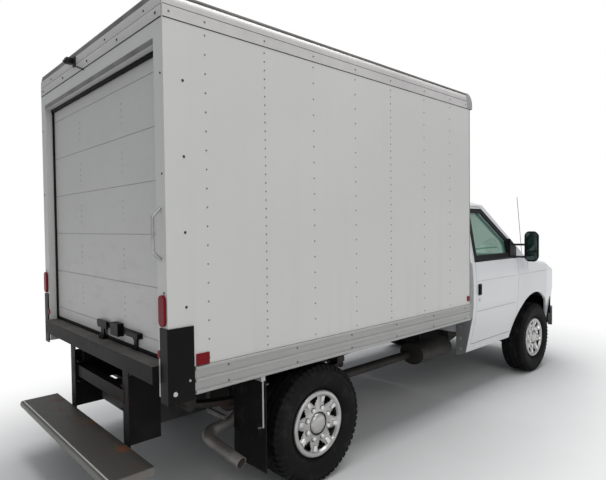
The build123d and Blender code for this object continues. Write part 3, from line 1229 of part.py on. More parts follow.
ANTENNA_FOOT = (FRONT_AXLE_X - 199.0, -900.0, 1322.0)
ANTENNA_TIP = (FRONT_AXLE_X - 328.0, -900.0, 1974.0)

with BuildPart() as antenna:
    rod(ANTENNA_FOOT, ANTENNA_TIP, 2.5)
    rod((ANTENNA_FOOT[0], ANTENNA_FOOT[1], ANTENNA_FOOT[2] - 32), ANTENNA_FOOT, 14)
    add(cab_body.part, mode=Mode.SUBTRACT)
keep("antenna", antenna)

for name, piece in pieces.items():
    export_step(piece, f"parts/{name}.step")
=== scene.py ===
"""Looks for a cutaway van with a dry-freight box body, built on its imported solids.

Metres, +X forward, +Y to the driver's side, +Z up from the ground. Each class below is one
sub-assembly: its fields are its sizes, and its methods build the meshes and put them on a body.
"""

import json
import logging
import math
from collections.abc import Callable, Sequence
from dataclasses import dataclass, field
from enum import Enum

import bmesh
import bpy
from mathutils import Matrix, Vector

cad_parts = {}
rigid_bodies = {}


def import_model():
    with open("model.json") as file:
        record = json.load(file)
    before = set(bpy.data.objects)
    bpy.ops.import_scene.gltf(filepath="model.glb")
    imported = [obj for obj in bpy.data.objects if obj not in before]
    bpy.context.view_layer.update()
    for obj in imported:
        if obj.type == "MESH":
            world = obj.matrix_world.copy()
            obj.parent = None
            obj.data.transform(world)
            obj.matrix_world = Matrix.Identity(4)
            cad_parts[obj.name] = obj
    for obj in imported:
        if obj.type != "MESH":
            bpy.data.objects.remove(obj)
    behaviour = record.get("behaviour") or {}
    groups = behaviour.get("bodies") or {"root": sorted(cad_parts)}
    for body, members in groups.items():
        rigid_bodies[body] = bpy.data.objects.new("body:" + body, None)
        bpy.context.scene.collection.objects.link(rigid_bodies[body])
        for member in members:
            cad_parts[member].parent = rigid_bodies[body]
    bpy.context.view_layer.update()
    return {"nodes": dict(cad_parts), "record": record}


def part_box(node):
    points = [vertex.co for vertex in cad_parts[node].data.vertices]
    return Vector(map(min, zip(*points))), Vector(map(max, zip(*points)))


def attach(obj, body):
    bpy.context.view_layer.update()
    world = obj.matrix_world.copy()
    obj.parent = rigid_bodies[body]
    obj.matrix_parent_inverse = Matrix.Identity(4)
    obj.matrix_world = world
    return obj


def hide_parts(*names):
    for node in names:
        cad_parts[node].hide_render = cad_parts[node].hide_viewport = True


for stray in list(bpy.data.objects):
    bpy.data.objects.remove(stray)
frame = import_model()

LOG = logging.getLogger("van")
Colour = tuple[float, float, float]
Point = tuple[float, float, float]
Outline = tuple[tuple[float, float], ...]
# two corners, the rounding of the edges and the place of the material
Block = tuple[Point, Point, float, int]
# two ends, the radius at each, the number of sides and the place of the material
Bar = tuple[Point, Point, float, float, int, int]
BOTH_SIDES = (-1, 1)


class Side(Enum):
    """The two sides of the van, by the sign of Y."""

    RIGHT = -1
    LEFT = 1

    @property
    def word(self) -> str:
        """The side's name in node and body names."""
        return self.name.lower()


# Shader graphs


class Sig:
    """One output or number in a shader graph, used in plain expressions."""

    def __init__(self, graph: "Graph", value: "bpy.types.NodeSocket | float") -> None:
        """Holds a socket or a number of a graph."""
        self.graph = graph
        self.value = value

    def _maths(self, operation: str, *others: "Sig | float") -> "Sig":
        """Adds one Math node.

        Args:
            operation: the node's operation.
            others: the values after this one.

        Returns:
            The node's result.
        """
        values = {n: v for n, v in enumerate((self, *others))}
        node = self.graph.node("ShaderNodeMath", {"operation": operation}, values)
        return Sig(self.graph, node.outputs[0])

    def __add__(self, other: "Sig | float") -> "Sig":
        """Adds."""
        return self._maths("ADD", other)

    def __radd__(self, other: float) -> "Sig":
        """Adds to a number."""
        return Sig(self.graph, other)._maths("ADD", self)

    def __sub__(self, other: "Sig | float") -> "Sig":
        """Subtracts."""
        return self._maths("SUBTRACT", other)

    def __rsub__(self, other: float) -> "Sig":
        """Takes this from a number."""
        return Sig(self.graph, other)._maths("SUBTRACT", self)

    def __mul__(self, other: "Sig | float") -> "Sig":
        """Multiplies."""
        return self._maths("MULTIPLY", other)

    def __rmul__(self, other: float) -> "Sig":
        """Multiplies a number."""
        return Sig(self.graph, other)._maths("MULTIPLY", self)

    def __truediv__(self, other: "Sig | float") -> "Sig":
        """Divides."""
        return self._maths("DIVIDE", other)

    def __pow__(self, power: float) -> "Sig":
        """Raises to a power."""
        return self._maths("POWER", power)

    def fract(self) -> "Sig":
        """The part after the decimal point."""
        return self._maths("FRACT")

    def size(self) -> "Sig":
        """The value without its sign."""
        return self._maths("ABSOLUTE")

    def most(self, other: "Sig | float") -> "Sig":
        """The larger of two values."""
        return self._maths("MAXIMUM", other)

    def ramp(self, low: float, high: float) -> "Sig":
        """Rises smoothly from 0 at low to 1 at high, or falls where low is the larger.

        Args:
            low: the value that gives 0.
            high: the value that gives 1.

        Returns:
            A value from 0 to 1.
        """
        start, end = (0.0, 1.0) if low < high else (1.0, 0.0)
        node = self.graph.node(
            "ShaderNodeMapRange", {"interpolation_type": "SMOOTHSTEP"},
            {"Value": self, "From Min": min(low, high), "From Max": max(low, high), "To Min": start,
             "To Max": end})
        return Sig(self.graph, node.outputs["Result"])


class Graph:
    """The node tree of one material or of the world."""

    def __init__(self, owner: bpy.types.ID, output: str = "ShaderNodeOutputMaterial") -> None:
        """Starts an empty tree with an output.

        Args:
            owner: the material or the world.
            output: the type of its output node.
        """
        self.owner = owner
        owner.use_nodes = True
        self.tree = owner.node_tree
        self.tree.nodes.clear()
        self.output = self.tree.nodes.new(output)

    def node(self, kind: str, settings: dict | None = None, inputs: dict | None = None) -> bpy.types.Node:
        """Adds one node, with its settings made before its sockets are filled.

        Args:
            kind: the node's type.
            settings: attributes of the node.
            inputs: values or links of its sockets, by name or place.

        Returns:
            The node.
        """
        node = self.tree.nodes.new(kind)
        for key, value in (settings or {}).items():
            setattr(node, key, value)
        for key, value in (inputs or {}).items():
            held = value.value if isinstance(value, Sig) else value
            if isinstance(held, bpy.types.NodeSocket):
                self.tree.links.new(held, node.inputs[key])
            else:
                node.inputs[key].default_value = held
        return node

    def place(self) -> Sig:
        """The point on the object, in metres in the van's frame."""
        return Sig(self, self.node("ShaderNodeTexCoord").outputs["Object"])

    def parts(self, vector: Sig) -> tuple[Sig, Sig, Sig]:
        """The three numbers of a vector."""
        node = self.node("ShaderNodeSeparateXYZ", None, {0: vector})
        return tuple(Sig(self, node.outputs[n]) for n in range(3))

    def stretched(self, vector: Sig, scale: Point) -> Sig:
        """A vector with each of its numbers multiplied."""
        node = self.node("ShaderNodeVectorMath", {"operation": "MULTIPLY"}, {0: vector, 1: scale})
        return Sig(self, node.outputs[0])

    def noise(self, vector: Sig, scale: float, detail: float = 3.0, rough: float = 0.55) -> Sig:
        """A noise from 0 to 1.

        Args:
            vector: where it is read.
            scale: its features a metre.
            detail: its octaves.
            rough: how strong the small ones are.

        Returns:
            The noise.
        """
        node = self.node("ShaderNodeTexNoise", {"noise_dimensions": "3D"},
                         {"Vector": vector, "Scale": scale, "Detail": detail, "Roughness": rough})
        return Sig(self, node.outputs["Fac"])

    def blend(self, first: "Sig | Colour", second: "Sig | Colour", amount: "Sig | float") -> Sig:
        """A colour between two colours.

        Args:
            first: the colour at 0.
            second: the colour at 1.
            amount: how far to the second.

        Returns:
            The colour.
        """
        node = self.node("ShaderNodeMix", {"data_type": "RGBA"})
        for socket, value in ((node.inputs[0], amount), (node.inputs[6], first), (node.inputs[7], second)):
            held = value.value if isinstance(value, Sig) else value
            if isinstance(held, bpy.types.NodeSocket):
                self.tree.links.new(held, socket)
            else:
                socket.default_value = (*held, 1.0) if isinstance(held, tuple) else held
        return Sig(self, node.outputs[2])

    def bump(self, height: Sig, depth: float) -> Sig:
        """A normal from a height of 0 to 1 that stands for a depth in metres."""
        node = self.node("ShaderNodeBump", None, {"Strength": 1.0, "Distance": depth, "Height": height})
        return Sig(self, node.outputs["Normal"])

    def show(self, shader: bpy.types.Node) -> None:
        """Joins a shader to the output."""
        self.tree.links.new(shader.outputs[0], self.output.inputs["Surface"])

    def mixed(self, first: bpy.types.Node, second: bpy.types.Node, amount: Sig) -> bpy.types.Node:
        """Adds a mix of two shaders.

        Args:
            first: the shader at 0.
            second: the shader at 1.
            amount: how far to the second.

        Returns:
            The mixing node.
        """
        ends = {1: Sig(self, first.outputs[0]), 2: Sig(self, second.outputs[0])}
        return self.node("ShaderNodeMixShader", None, {0: amount, **ends})

    def seen_by(self, first: str, second: str) -> Sig:
        """1 for two kinds of rays and 0 for all others."""
        rays = self.node("ShaderNodeLightPath")
        return Sig(self, rays.outputs[first]).most(Sig(self, rays.outputs[second]))


# Finishes


GRIME: Colour = (0.13, 0.11, 0.09)
RUST: Colour = (0.22, 0.075, 0.025)
DUST: Colour = (0.055, 0.050, 0.045)
# painted shade on the exhaust under the floor
UNDERFLOOR_SHADE: Colour = (0.020, 0.018, 0.016)
STREAK: Colour = (0.52, 0.50, 0.46)
# painted shade in the grooves of the step's tread
SMUDGE: Colour = (0.36, 0.34, 0.32)
GROOVE_SHADE: Colour = (0.022, 0.018, 0.015)
WORN_EDGE: Colour = (0.62, 0.61, 0.59)


@dataclass
class Layer:
    """A surface while it is built up: where it is read, its colour and gloss, and a height for the bump."""

    graph: Graph
    place: Sig
    colour: Sig
    rough: Sig
    height: Sig | None = None

    def tint(self, colour: "Sig | Colour", amount: "Sig | float") -> None:
        """Blends the colour towards another one."""
        self.colour = self.graph.blend(self.colour, colour, amount)


@dataclass(frozen=True)
class Finish:
    """One surface finish: colour, gloss, drift of both, grime from the road, rust and grain."""

    name: str
    colour: Colour
    rough: float = 0.4
    metal: float = 0.0
    coat: float = 0.0
    spec: float = 0.5
    drift: float = 0.06
    drift_scale: float = 1.3
    speckle: float = 0.3
    speckle_scale: float = 17.0
    grime: float = 0.0
    grime_top: float = 1.0
    rust: float = 0.0
    grain: float = 0.0
    grain_scale: float = 900.0

    def pattern(self, layer: Layer) -> None:
        """Adds what a finish of its own kind has, which is nothing here."""

    def age(self, layer: Layer) -> None:
        """Adds grime towards the road and spots of rust.

        Args:
            layer: the surface so far.
        """
        graph, place = layer.graph, layer.place
        if self.grime:
            height = graph.parts(place)[2]
            dirt = height.ramp(self.grime_top, 0.1) * graph.noise(place, 7.0, 5).ramp(0.3, 0.75) * self.grime
            layer.tint(GRIME, dirt)
            layer.rough = layer.rough + dirt * 0.3
        if self.rust:
            spots = graph.noise(place, 9.0, 6, 0.7).ramp(0.62 - 0.2 * self.rust, 0.78)
            layer.tint(RUST, spots * min(1.0, self.rust * 1.4))
            layer.rough = layer.rough + spots * 0.3

    def material(self) -> bpy.types.Material:
        """Builds the material.

        Returns:
            The material, with every varying value from nodes.
        """
        graph = Graph(bpy.data.materials.new(self.name))
        place = graph.place()
        broad = graph.noise(place, self.drift_scale, 3)
        fine = graph.noise(place, self.drift_scale * self.speckle_scale, 4)
        dark = tuple(max(0.0, c * (1 - self.drift)) for c in self.colour)
        light = tuple(min(1.0, c * (1 + self.drift)) for c in self.colour)
        tone = (broad * (1 - self.speckle) + fine * self.speckle).ramp(0.32, 0.68)
        rough = (broad - 0.5) * 0.12 + (fine - 0.5) * (0.4 * self.speckle) + self.rough
        layer = Layer(graph, place, graph.blend(dark, light, tone), rough)
        self.age(layer)
        self.pattern(layer)
        settings = {"Base Color": layer.colour, "Roughness": layer.rough, "Metallic": self.metal,
                    "Coat Weight": self.coat, "Specular IOR Level": self.spec}
        if layer.height is None and self.grain:
            layer.height = graph.noise(place, self.grain_scale, 2)
        if layer.height is not None:
            settings["Normal"] = graph.bump(layer.height, self.grain or 0.001)
        graph.show(graph.node("ShaderNodeBsdfPrincipled", None, settings))
        return graph.owner


@dataclass(frozen=True)
class SheetPaint(Finish):
    """White sheet: faint streaks run down it, with a little dust in the lower part."""

    streaks: Point = (14.0, 14.0, 0.5)
    dusty_from: float = 1.6
    dusty_to: float = 0.85

    def pattern(self, layer: Layer) -> None:
        """Adds the streaks and a shallow waviness.

        Args:
            layer: the surface so far.
        """
        graph, place = layer.graph, layer.place
        streak = graph.noise(graph.stretched(place, self.streaks), 1.0, 4).ramp(0.5, 0.85)
        low = graph.parts(place)[2].ramp(self.dusty_from, self.dusty_to)
        layer.tint(STREAK, streak * 0.10 + low * streak * 0.22)
        layer.rough = layer.rough + streak * 0.08
        layer.height = graph.noise(place, 2.2, 2)


@dataclass(frozen=True)
class Ridged(Finish):
    """Extruded or rolled metal: drawn lines along one axis."""

    along: Point = (0.4, 60.0, 60.0)

    def pattern(self, layer: Layer) -> None:
        """Adds drawn lines to the colour and the gloss.

        Args:
            layer: the surface so far.
        """
        lines = layer.graph.noise(layer.graph.stretched(layer.place, self.along), 3.0, 4)
        layer.tint(tuple(c * 0.72 for c in self.colour), lines.ramp(0.5, 0.8) * 0.5)
        layer.rough = layer.rough + (lines - 0.5) * 0.25
        layer.height = lines


@dataclass(frozen=True)
class TreadPlate(Finish):
    """The rear step: fine bars across its tread with painted shade in the grooves between them, rust in patches
    and a worn bright edge.
    """

    pitch: float = 0.017
    tooth: float = 0.012
    edge_x: float = -2.777
    top_z: float = 0.398
    rust_from: float = -2.69
    rust_to: float = -2.57

    def pattern(self, layer: Layer) -> None:
        """Adds the bars with painted shade between them, the edge line and the rust.

        Args:
            layer: the surface so far.
        """
        x, y, z = layer.graph.parts(layer.place)
        bars = ((y / self.pitch).fract() - 0.5).size().ramp(0.18, 0.34)
        teeth = ((x / self.tooth).fract() - 0.5).size().ramp(0.30, 0.45)
        top = z.ramp(self.top_z, self.top_z + 0.006)
        bar_tops = (bars * 0.75 + bars * teeth * 0.25) * top
        # painted shade in the grooves between the bars
        layer.tint(GROOVE_SHADE, (1 - bar_tops) * top * 0.9)
        layer.tint(WORN_EDGE, (x - self.edge_x).size().ramp(0.006, 0.003) * top)
        worn = layer.graph.noise(layer.place, 5.0, 5, 0.65)
        rusty = worn.ramp(0.50, 0.66) * x.ramp(self.rust_from, self.rust_to)
        layer.tint(RUST, rusty * 0.85)
        layer.rough = layer.rough + rusty * 0.3
        layer.height = bar_tops


@dataclass(frozen=True)
class Rubber(Finish):
    """Black rubber with dust in patches and a fine grain."""

    def pattern(self, layer: Layer) -> None:
        """Adds dust and the grain.

        Args:
            layer: the surface so far.
        """
        dust = layer.graph.noise(layer.place, 11.0, 5, 0.6).ramp(0.5, 0.8)
        layer.tint(DUST, dust * 0.5)
        layer.rough = layer.rough + dust * 0.1
        layer.height = layer.graph.noise(layer.place, 260.0, 3)


@dataclass(frozen=True)
class Lens(Finish):
    """A moulded lamp lens with a small prism pattern under a clear skin, its ridges painted lighter as painted
    glints.
    """

    cell: float = 0.008

    def pattern(self, layer: Layer) -> None:
        """Adds the prisms, with a painted glint on their ridges.

        Args:
            layer: the surface so far.
        """
        x, y, z = layer.graph.parts(layer.place)
        up = ((z / self.cell).fract() - 0.5).size()
        across = (((y + x) / self.cell).fract() - 0.5).size()
        layer.height = up.most(across)
        # the ridges are painted lighter: a painted glint
        layer.tint(tuple(min(1.0, c * 1.5) for c in self.colour), layer.height.ramp(0.3, 0.5) * 0.6)


@dataclass(frozen=True)
class Pipe(Finish):
    """The exhaust: its own grey at its tail end, and darker under the floor with painted shade."""

    bright_to: float = -2.05
    sooty_from: float = -1.70

    def pattern(self, layer: Layer) -> None:
        """Adds painted shade under the floor, a little patchy.

        Args:
            layer: the surface so far.
        """
        graph, place = layer.graph, layer.place
        patches = graph.noise(place, 5.0, 4) * 0.2 + 0.8
        # darker under the floor: painted shade
        under = graph.parts(place)[0].ramp(self.bright_to, self.sooty_from) * patches
        layer.tint(UNDERFLOOR_SHADE, under)
        layer.rough = layer.rough + under * 0.2
        layer.height = graph.noise(place, self.grain_scale, 2)


@dataclass(frozen=True)
class Weave(Finish):
    """Seat cloth: two crossed threads over a soft drift of tone."""

    thread: float = 0.0032

    def pattern(self, layer: Layer) -> None:
        """Adds the threads.

        Args:
            layer: the surface so far.
        """
        x, y, z = layer.graph.parts(layer.place)
        warp = (((x + z) / self.thread).fract() - 0.5).size()
        weft = ((y / self.thread).fract() - 0.5).size()
        threads = warp.most(weft)
        layer.tint(tuple(c * 0.55 for c in self.colour), threads.ramp(0.35, 0.5) * 0.2)
        layer.height = (1 - threads) * 0.3


@dataclass(frozen=True)
class Curtain(Finish):
    """The roll-up door: laminated panels with a faint grain, smudged towards the latch."""

    smudges: Point = (1.0, 2.0, 6.0)

    def pattern(self, layer: Layer) -> None:
        """Adds smudges and a faint texture.

        Args:
            layer: the surface so far.
        """
        graph, place = layer.graph, layer.place
        smudge = graph.noise(graph.stretched(place, self.smudges), 3.0, 5).ramp(0.5, 0.8)
        layer.tint(SMUDGE, smudge * (graph.parts(place)[2].ramp(2.2, 1.0) * 0.2 + 0.05))
        layer.rough = layer.rough + smudge * 0.1
        layer.height = graph.noise(place, 120.0, 2)


@dataclass(frozen=True)
class Glass:
    """Tinted glass seen through, with a mirror-like skin."""

    name: str
    colour: Colour
    alpha: float
    rough: float = 0.03

    def material(self) -> bpy.types.Material:
        """Builds the material.

        Returns:
            The material, with a patchy film of dust.
        """
        graph = Graph(bpy.data.materials.new(self.name))
        film = graph.noise(graph.place(), 4.0, 4).ramp(0.45, 0.9)
        dusty = tuple(0.7 * c + 0.12 for c in self.colour)
        settings = {
            "Base Color": graph.blend(self.colour, dusty, film * 0.35), "Roughness": film * 0.08 + self.rough,
            "Alpha": film * 0.06 + self.alpha, "IOR": 1.5, "Coat Weight": 0.6, "Coat Roughness": 0.02}
        graph.show(graph.node("ShaderNodeBsdfPrincipled", None, settings))
        return graph.owner


FINISHES: dict[str, Finish | Glass] = {finish.name: finish for finish in (
    Finish("body_white", (0.70, 0.71, 0.72), 0.30, coat=0.4, drift=0.02, speckle=0.05, grime=0.3,
           grime_top=0.8),
    SheetPaint("box_white", (0.63, 0.63, 0.61), 0.42, drift=0.03, drift_scale=0.6, speckle=0.1,
               grain=0.0012),
    Ridged("rail_aluminium", (0.62, 0.60, 0.59), 0.42, metal=0.15, grime=0.25, grime_top=1.1,
           grain=0.0003),
    Ridged("skirt_aluminium", (0.40, 0.40, 0.39), 0.45, metal=0.35, grime=0.3, grime_top=1.0,
           grain=0.0003),
    Ridged("post_aluminium", (0.30, 0.28, 0.27), 0.45, metal=0.45, grain=0.0003, along=(60.0, 60.0, 0.4)),
    Finish("rivet_grey", (0.17, 0.17, 0.165), 0.5, metal=0.3, drift=0.3, drift_scale=3.0),
    # dark grey of some screws, and painted shade in the gaps and the seam of the roof rails
    Finish("gap_dark", (0.045, 0.045, 0.045), 0.7, spec=0.2),
    # painted shade on the roof sheet's edge and on the lip under the rear header
    Finish("edge_grey", (0.19, 0.18, 0.175), 0.6, metal=0.2, drift=0.25, drift_scale=5.0, grain=0.0004,
           grain_scale=60.0),
    # painted shade along the pressed lines of the doors and fenders
    Finish("seam_grey", (0.30, 0.30, 0.30), 0.5, drift=0.1),
    SheetPaint("roof_sheet", (0.40, 0.40, 0.395), 0.5, metal=0.2, drift=0.06, grain=0.001),
    Curtain("door_white", (0.60, 0.59, 0.575), 0.45, drift=0.03, grain=0.0002),
    Finish("steel_black", (0.009, 0.009, 0.010), 0.55, spec=0.12, grime=0.16, grime_top=0.9, rust=0.2,
           grain=0.0004, grain_scale=160.0),
    Finish("sill_worn", (0.10, 0.092, 0.085), 0.55, metal=0.2, drift=0.3, drift_scale=6.0, rust=0.1),
    Finish("boot_black", (0.005, 0.0045, 0.005), 0.42, spec=0.1, grime=0.08, grime_top=1.2, grain=0.0002,
           grain_scale=300.0),
    Finish("cast_grey", (0.045, 0.042, 0.04), 0.65, metal=0.3, grime=0.5, rust=0.5, grain=0.0008,
           grain_scale=140.0),
    Finish("spring_steel", (0.035, 0.032, 0.03), 0.55, metal=0.2, grime=0.5, rust=0.5, grain=0.0004),
    Finish("engine_grey", (0.07, 0.07, 0.072), 0.6, metal=0.4, grime=0.4, grain=0.001, grain_scale=90.0),
    Pipe("exhaust_rust", (0.24, 0.225, 0.21), 0.45, metal=0.6, drift=0.3, drift_scale=8.0, rust=0.3,
         grain=0.0005, grain_scale=200.0),
    Finish("tank_black", (0.022, 0.022, 0.024), 0.55, grime=0.5, grain=0.0006, grain_scale=400.0),
    TreadPlate("step_steel", (0.19, 0.185, 0.165), 0.5, metal=0.4, grain=0.003),
    Finish("bumper_grey", (0.085, 0.087, 0.09), 0.38, coat=0.2, grime=0.4, grime_top=0.7),
    Finish("grille_grey", (0.10, 0.105, 0.11), 0.4, grain=0.0002),
    Finish("mirror_black", (0.007, 0.007, 0.008), 0.42, spec=0.2, grain=0.0003, grain_scale=700.0),
    Finish("dash_grey", (0.05, 0.05, 0.053), 0.6, grain=0.0006, grain_scale=500.0),
    Weave("seat_fabric", (0.075, 0.078, 0.085), 0.85, grain=0.0008),
    Finish("wheel_black", (0.02, 0.02, 0.02), 0.5, grain=0.0004, grain_scale=600.0),
    Finish("cover_silver", (0.52, 0.51, 0.50), 0.30, metal=0.7, coat=0.2, drift=0.06, drift_scale=6.0,
           speckle=0.1, grime=0.25, grime_top=0.75),
    # a lighter silver for the nut bumps, and a painted highlight on the raised bars beside the vents
    Finish("cover_bright", (0.80, 0.80, 0.80), 0.22, metal=0.5, coat=0.5, drift=0.04, speckle=0.1),
    Rubber("tyre", (0.0065, 0.0065, 0.007), 0.7, spec=0.15, grain=0.0006),
    Rubber("flap_rubber", (0.008, 0.008, 0.009), 0.65, spec=0.12, grain=0.0006),
    Glass("glass", (0.12, 0.34, 0.24), 0.40),
    Lens("lamp_clear", (0.30, 0.31, 0.33), 0.10, metal=0.6, coat=1.0, grain=0.002, cell=0.02),
    Lens("lamp_amber", (0.75, 0.28, 0.03), 0.15, coat=1.0, grain=0.001),
    Lens("lamp_red", (0.17, 0.006, 0.010), 0.35, coat=0.0, spec=0.12, grain=0.0006, cell=0.016),
    Finish("zinc", (0.42, 0.42, 0.41), 0.4, metal=0.8, drift=0.15, drift_scale=12.0, rust=0.15),
    Finish("bracket_grey", (0.26, 0.265, 0.27), 0.5, metal=0.3, grime=0.5, grime_top=1.0, rust=0.2),
    Finish("mirror_glass", (0.045, 0.075, 0.068), 0.12, metal=0.9, coat=0.3, drift=0.1),
)}
# nodes whose finish differs from their record slot
OWN_FINISH: dict[str, str] = {"side_rails": "skirt_aluminium"}


class Palette:
    """Builds each finish once and hands it out by its slot name."""

    def __init__(self) -> None:
        """Starts with no materials."""
        self.made: dict[str, bpy.types.Material] = {}

    def get(self, slot: str) -> bpy.types.Material:
        """The material of one slot, built when it is first asked for.

        Args:
            slot: its name.

        Returns:
            The material.
        """
        if slot not in self.made:
            self.made[slot] = FINISHES[slot].material()
        return self.made[slot]

    def dress_nodes(self) -> None:
        """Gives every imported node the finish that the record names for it."""
        for part in frame["record"]["subparts"]:
            node = frame["nodes"][part["node"]]
            for place in node.material_slots:
                place.material = self.get(OWN_FINISH.get(part["node"], part["material_slot"]))


PALETTE = Palette()


# Meshes


class Shape:
    """A mesh under construction, with the few moves that the van's pieces need."""

    def __init__(self) -> None:
        """Starts an empty mesh."""
        self.bm = bmesh.new()

    def block(self, low: Sequence[float], high: Sequence[float], bevel: float = 0.0, slot: int = 0,
              turn: Matrix | None = None) -> None:
        """Adds a block between two corners.

        Args:
            low: one corner.
            high: the other corner.
            bevel: width of its rounded edges.
            slot: place of its material.
            turn: a turn or shift of the finished block.
        """
        middle = (Vector(low) + Vector(high)) / 2
        sizes = [abs(b - a) for a, b in zip(low, high)]
        place = Matrix.Translation(middle) @ Matrix.Diagonal((*sizes, 1.0))
        made = bmesh.ops.create_cube(self.bm, size=1.0, matrix=place)
        faces = {f for v in made["verts"] for f in v.link_faces}
        for face in faces:
            face.material_index = slot
        verts = set(made["verts"])
        if bevel:
            edges = {e for f in faces for e in f.edges}
            cut = bmesh.ops.bevel(self.bm, geom=list(edges), offset=bevel, affect="EDGES", segments=2,
                                  profile=0.5, material=-1, clamp_overlap=True)
            verts = {v for v in verts if v.is_valid} | set(cut["verts"])
        if turn is not None:
            bmesh.ops.transform(self.bm, matrix=turn, verts=list(verts))

    def blocks(self, blocks: Sequence[Block], side: int = 1) -> None:
        """Adds the blocks of a table.

        Args:
            blocks: the table, with Y for the left side.
            side: what Y is multiplied by.
        """
        for (x0, y0, z0), (x1, y1, z1), bevel, slot in blocks:
            self.block((x0, side * y0, z0), (x1, side * y1, z1), bevel, slot)

    def bars(self, bars: Sequence[Bar], side: int = 1) -> None:
        """Adds the round bars of a table.

        Args:
            bars: the table, with Y for the left side.
            side: what Y is multiplied by.
        """
        for (x0, y0, z0), (x1, y1, z1), first, last, segments, slot in bars:
            self.drum((x0, side * y0, z0), (x1, side * y1, z1), first, last, segments, slot)

    def drum(self, start: Sequence[float], end: Sequence[float], first: float, last: float | None = None,
             segments: int = 12, slot: int = 0) -> None:
        """Adds a round bar or a cone between two points.

        Args:
            start: middle of one end.
            end: middle of the other.
            first: radius at the start.
            last: radius at the end, the same if not given.
            segments: sides.
            slot: place of its material.
        """
        run = Vector(end) - Vector(start)
        turn = run.to_track_quat("Z", "Y").to_matrix().to_4x4()
        made = bmesh.ops.create_cone(
            self.bm, cap_ends=True, cap_tris=False, segments=segments, radius1=first,
            radius2=first if last is None else last, depth=run.length,
            matrix=Matrix.Translation((Vector(start) + Vector(end)) / 2) @ turn)
        for face in {f for v in made["verts"] for f in v.link_faces}:
            face.material_index = slot

    def dome(self, middle: Sequence[float], sizes: Sequence[float], slot: int = 0, rings: int = 8) -> None:
        """Adds a rounded bump as a squashed ball.

        Args:
            middle: its middle point.
            sizes: its three half sizes.
            slot: place of its material.
            rings: its rings from pole to pole.
        """
        place = Matrix.Translation(Vector(middle)) @ Matrix.Diagonal((*sizes, 1.0))
        made = bmesh.ops.create_uvsphere(self.bm, u_segments=rings + 4, v_segments=rings, radius=1.0,
                                         matrix=place)
        for face in {f for v in made["verts"] for f in v.link_faces}:
            face.material_index = slot

    def lathe(self, profile: Sequence[tuple[float, float]], steps: int, slots: Sequence[int] = (),
              closed: bool = False) -> None:
        """Turns a profile round the Y axis.

        Args:
            profile: radius and distance along Y of each point.
            steps: segments round the axis.
            slots: place of the material of each band, the first where not given.
            closed: whether the profile's ends meet.
        """
        start = [self.bm.verts.new((r, y, 0.0)) for r, y in profile]
        ends = list(zip(profile, profile[1:])) + ([(profile[-1], profile[0])] if closed else [])
        pairs = list(zip(start, start[1:])) + ([(start[-1], start[0])] if closed else [])
        edges = [self.bm.edges.new(pair) for pair in pairs]
        before = set(self.bm.faces)
        bmesh.ops.spin(self.bm, geom=start + edges, cent=(0, 0, 0), axis=(0, 1, 0), angle=2 * math.pi,
                       steps=steps, use_merge=True)
        made = [f for f in self.bm.faces if f not in before]
        bands = [((first[0] + second[0]) / 2, (first[1] + second[1]) / 2) for first, second in ends]
        for face in made if slots else ():
            middle = face.calc_center_median()
            here = (math.hypot(middle.x, middle.z), middle.y)
            near = min(range(len(bands)), key=lambda n: math.dist(bands[n], here))
            face.material_index = slots[near] if near < len(slots) else 0
        bmesh.ops.remove_doubles(self.bm, verts=list({v for f in made for v in f.verts}), dist=1e-5)

    def ring_of(self, build: Callable[[], None], count: int) -> None:
        """Repeats what build adds, evenly round the Y axis.

        Args:
            build: adds one copy and returns nothing.
            count: how many copies.
        """
        before = set(self.bm.faces)
        build()
        faces = [f for f in self.bm.faces if f not in before]
        geom = faces + list({e for f in faces for e in f.edges}) + list({v for f in faces for v in f.verts})
        step = 2 * math.pi / count
        bmesh.ops.spin(self.bm, geom=geom, cent=(0, 0, 0), axis=(0, 1, 0), angle=step * (count - 1),
                       steps=count - 1, use_duplicate=True)

    def finish(self, name: str, slots: Sequence[str], sharp: float = 32.0, place: Matrix | None = None,
               outward: bool = True) -> bpy.types.Object:
        """Makes the object.

        Args:
            name: the piece's name.
            slots: its finishes, in the order of its material places.
            sharp: the angle in degrees from which an edge stays sharp.
            place: a last turn and shift, put into the mesh.
            outward: whether the normals are worked out again.

        Returns:
            The object, at the origin.
        """
        if place is not None:
            bmesh.ops.transform(self.bm, matrix=place, verts=list(self.bm.verts))
        if outward:
            bmesh.ops.recalc_face_normals(self.bm, faces=list(self.bm.faces))
        mesh = bpy.data.meshes.new(name)
        self.bm.to_mesh(mesh)
        self.bm.free()
        for slot in slots:
            mesh.materials.append(PALETTE.get(slot))
        mesh.shade_smooth()
        mesh.set_sharp_from_angle(angle=math.radians(sharp))
        made = bpy.data.objects.new(name, mesh)
        bpy.context.scene.collection.objects.link(made)
        return made


def fit(piece: bpy.types.Object, body: str, replaces: Sequence[str] = ()) -> None:
    """Puts a finished piece on the body that carries it and reports it.

    Args:
        piece: the finished object.
        body: the body it moves with.
        replaces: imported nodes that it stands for.
    """
    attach(piece, body)
    if replaces:
        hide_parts(*replaces)
    LOG.info("%s: %d faces on %s", piece.name, len(piece.data.polygons), body)


def add_piece(name: str, finishes: Sequence[str], body: str, blocks: Sequence[Block] = (),
              bars: Sequence[Bar] = (), sides: Sequence[int] = (1,)) -> None:
    """Builds a small piece from tables of blocks and round bars, and fits it.

    Args:
        name: its name.
        finishes: its finishes, in the order of its material places.
        body: the body that it moves with.
        blocks: its blocks, with Y for the left side.
        bars: its round bars, with Y for the left side.
        sides: what Y is multiplied by, with one copy for each.
    """
    shape = Shape()
    for side in sides:
        shape.blocks(blocks, side)
        shape.bars(bars, side)
    fit(shape.finish(name, finishes), body)


# Wheels


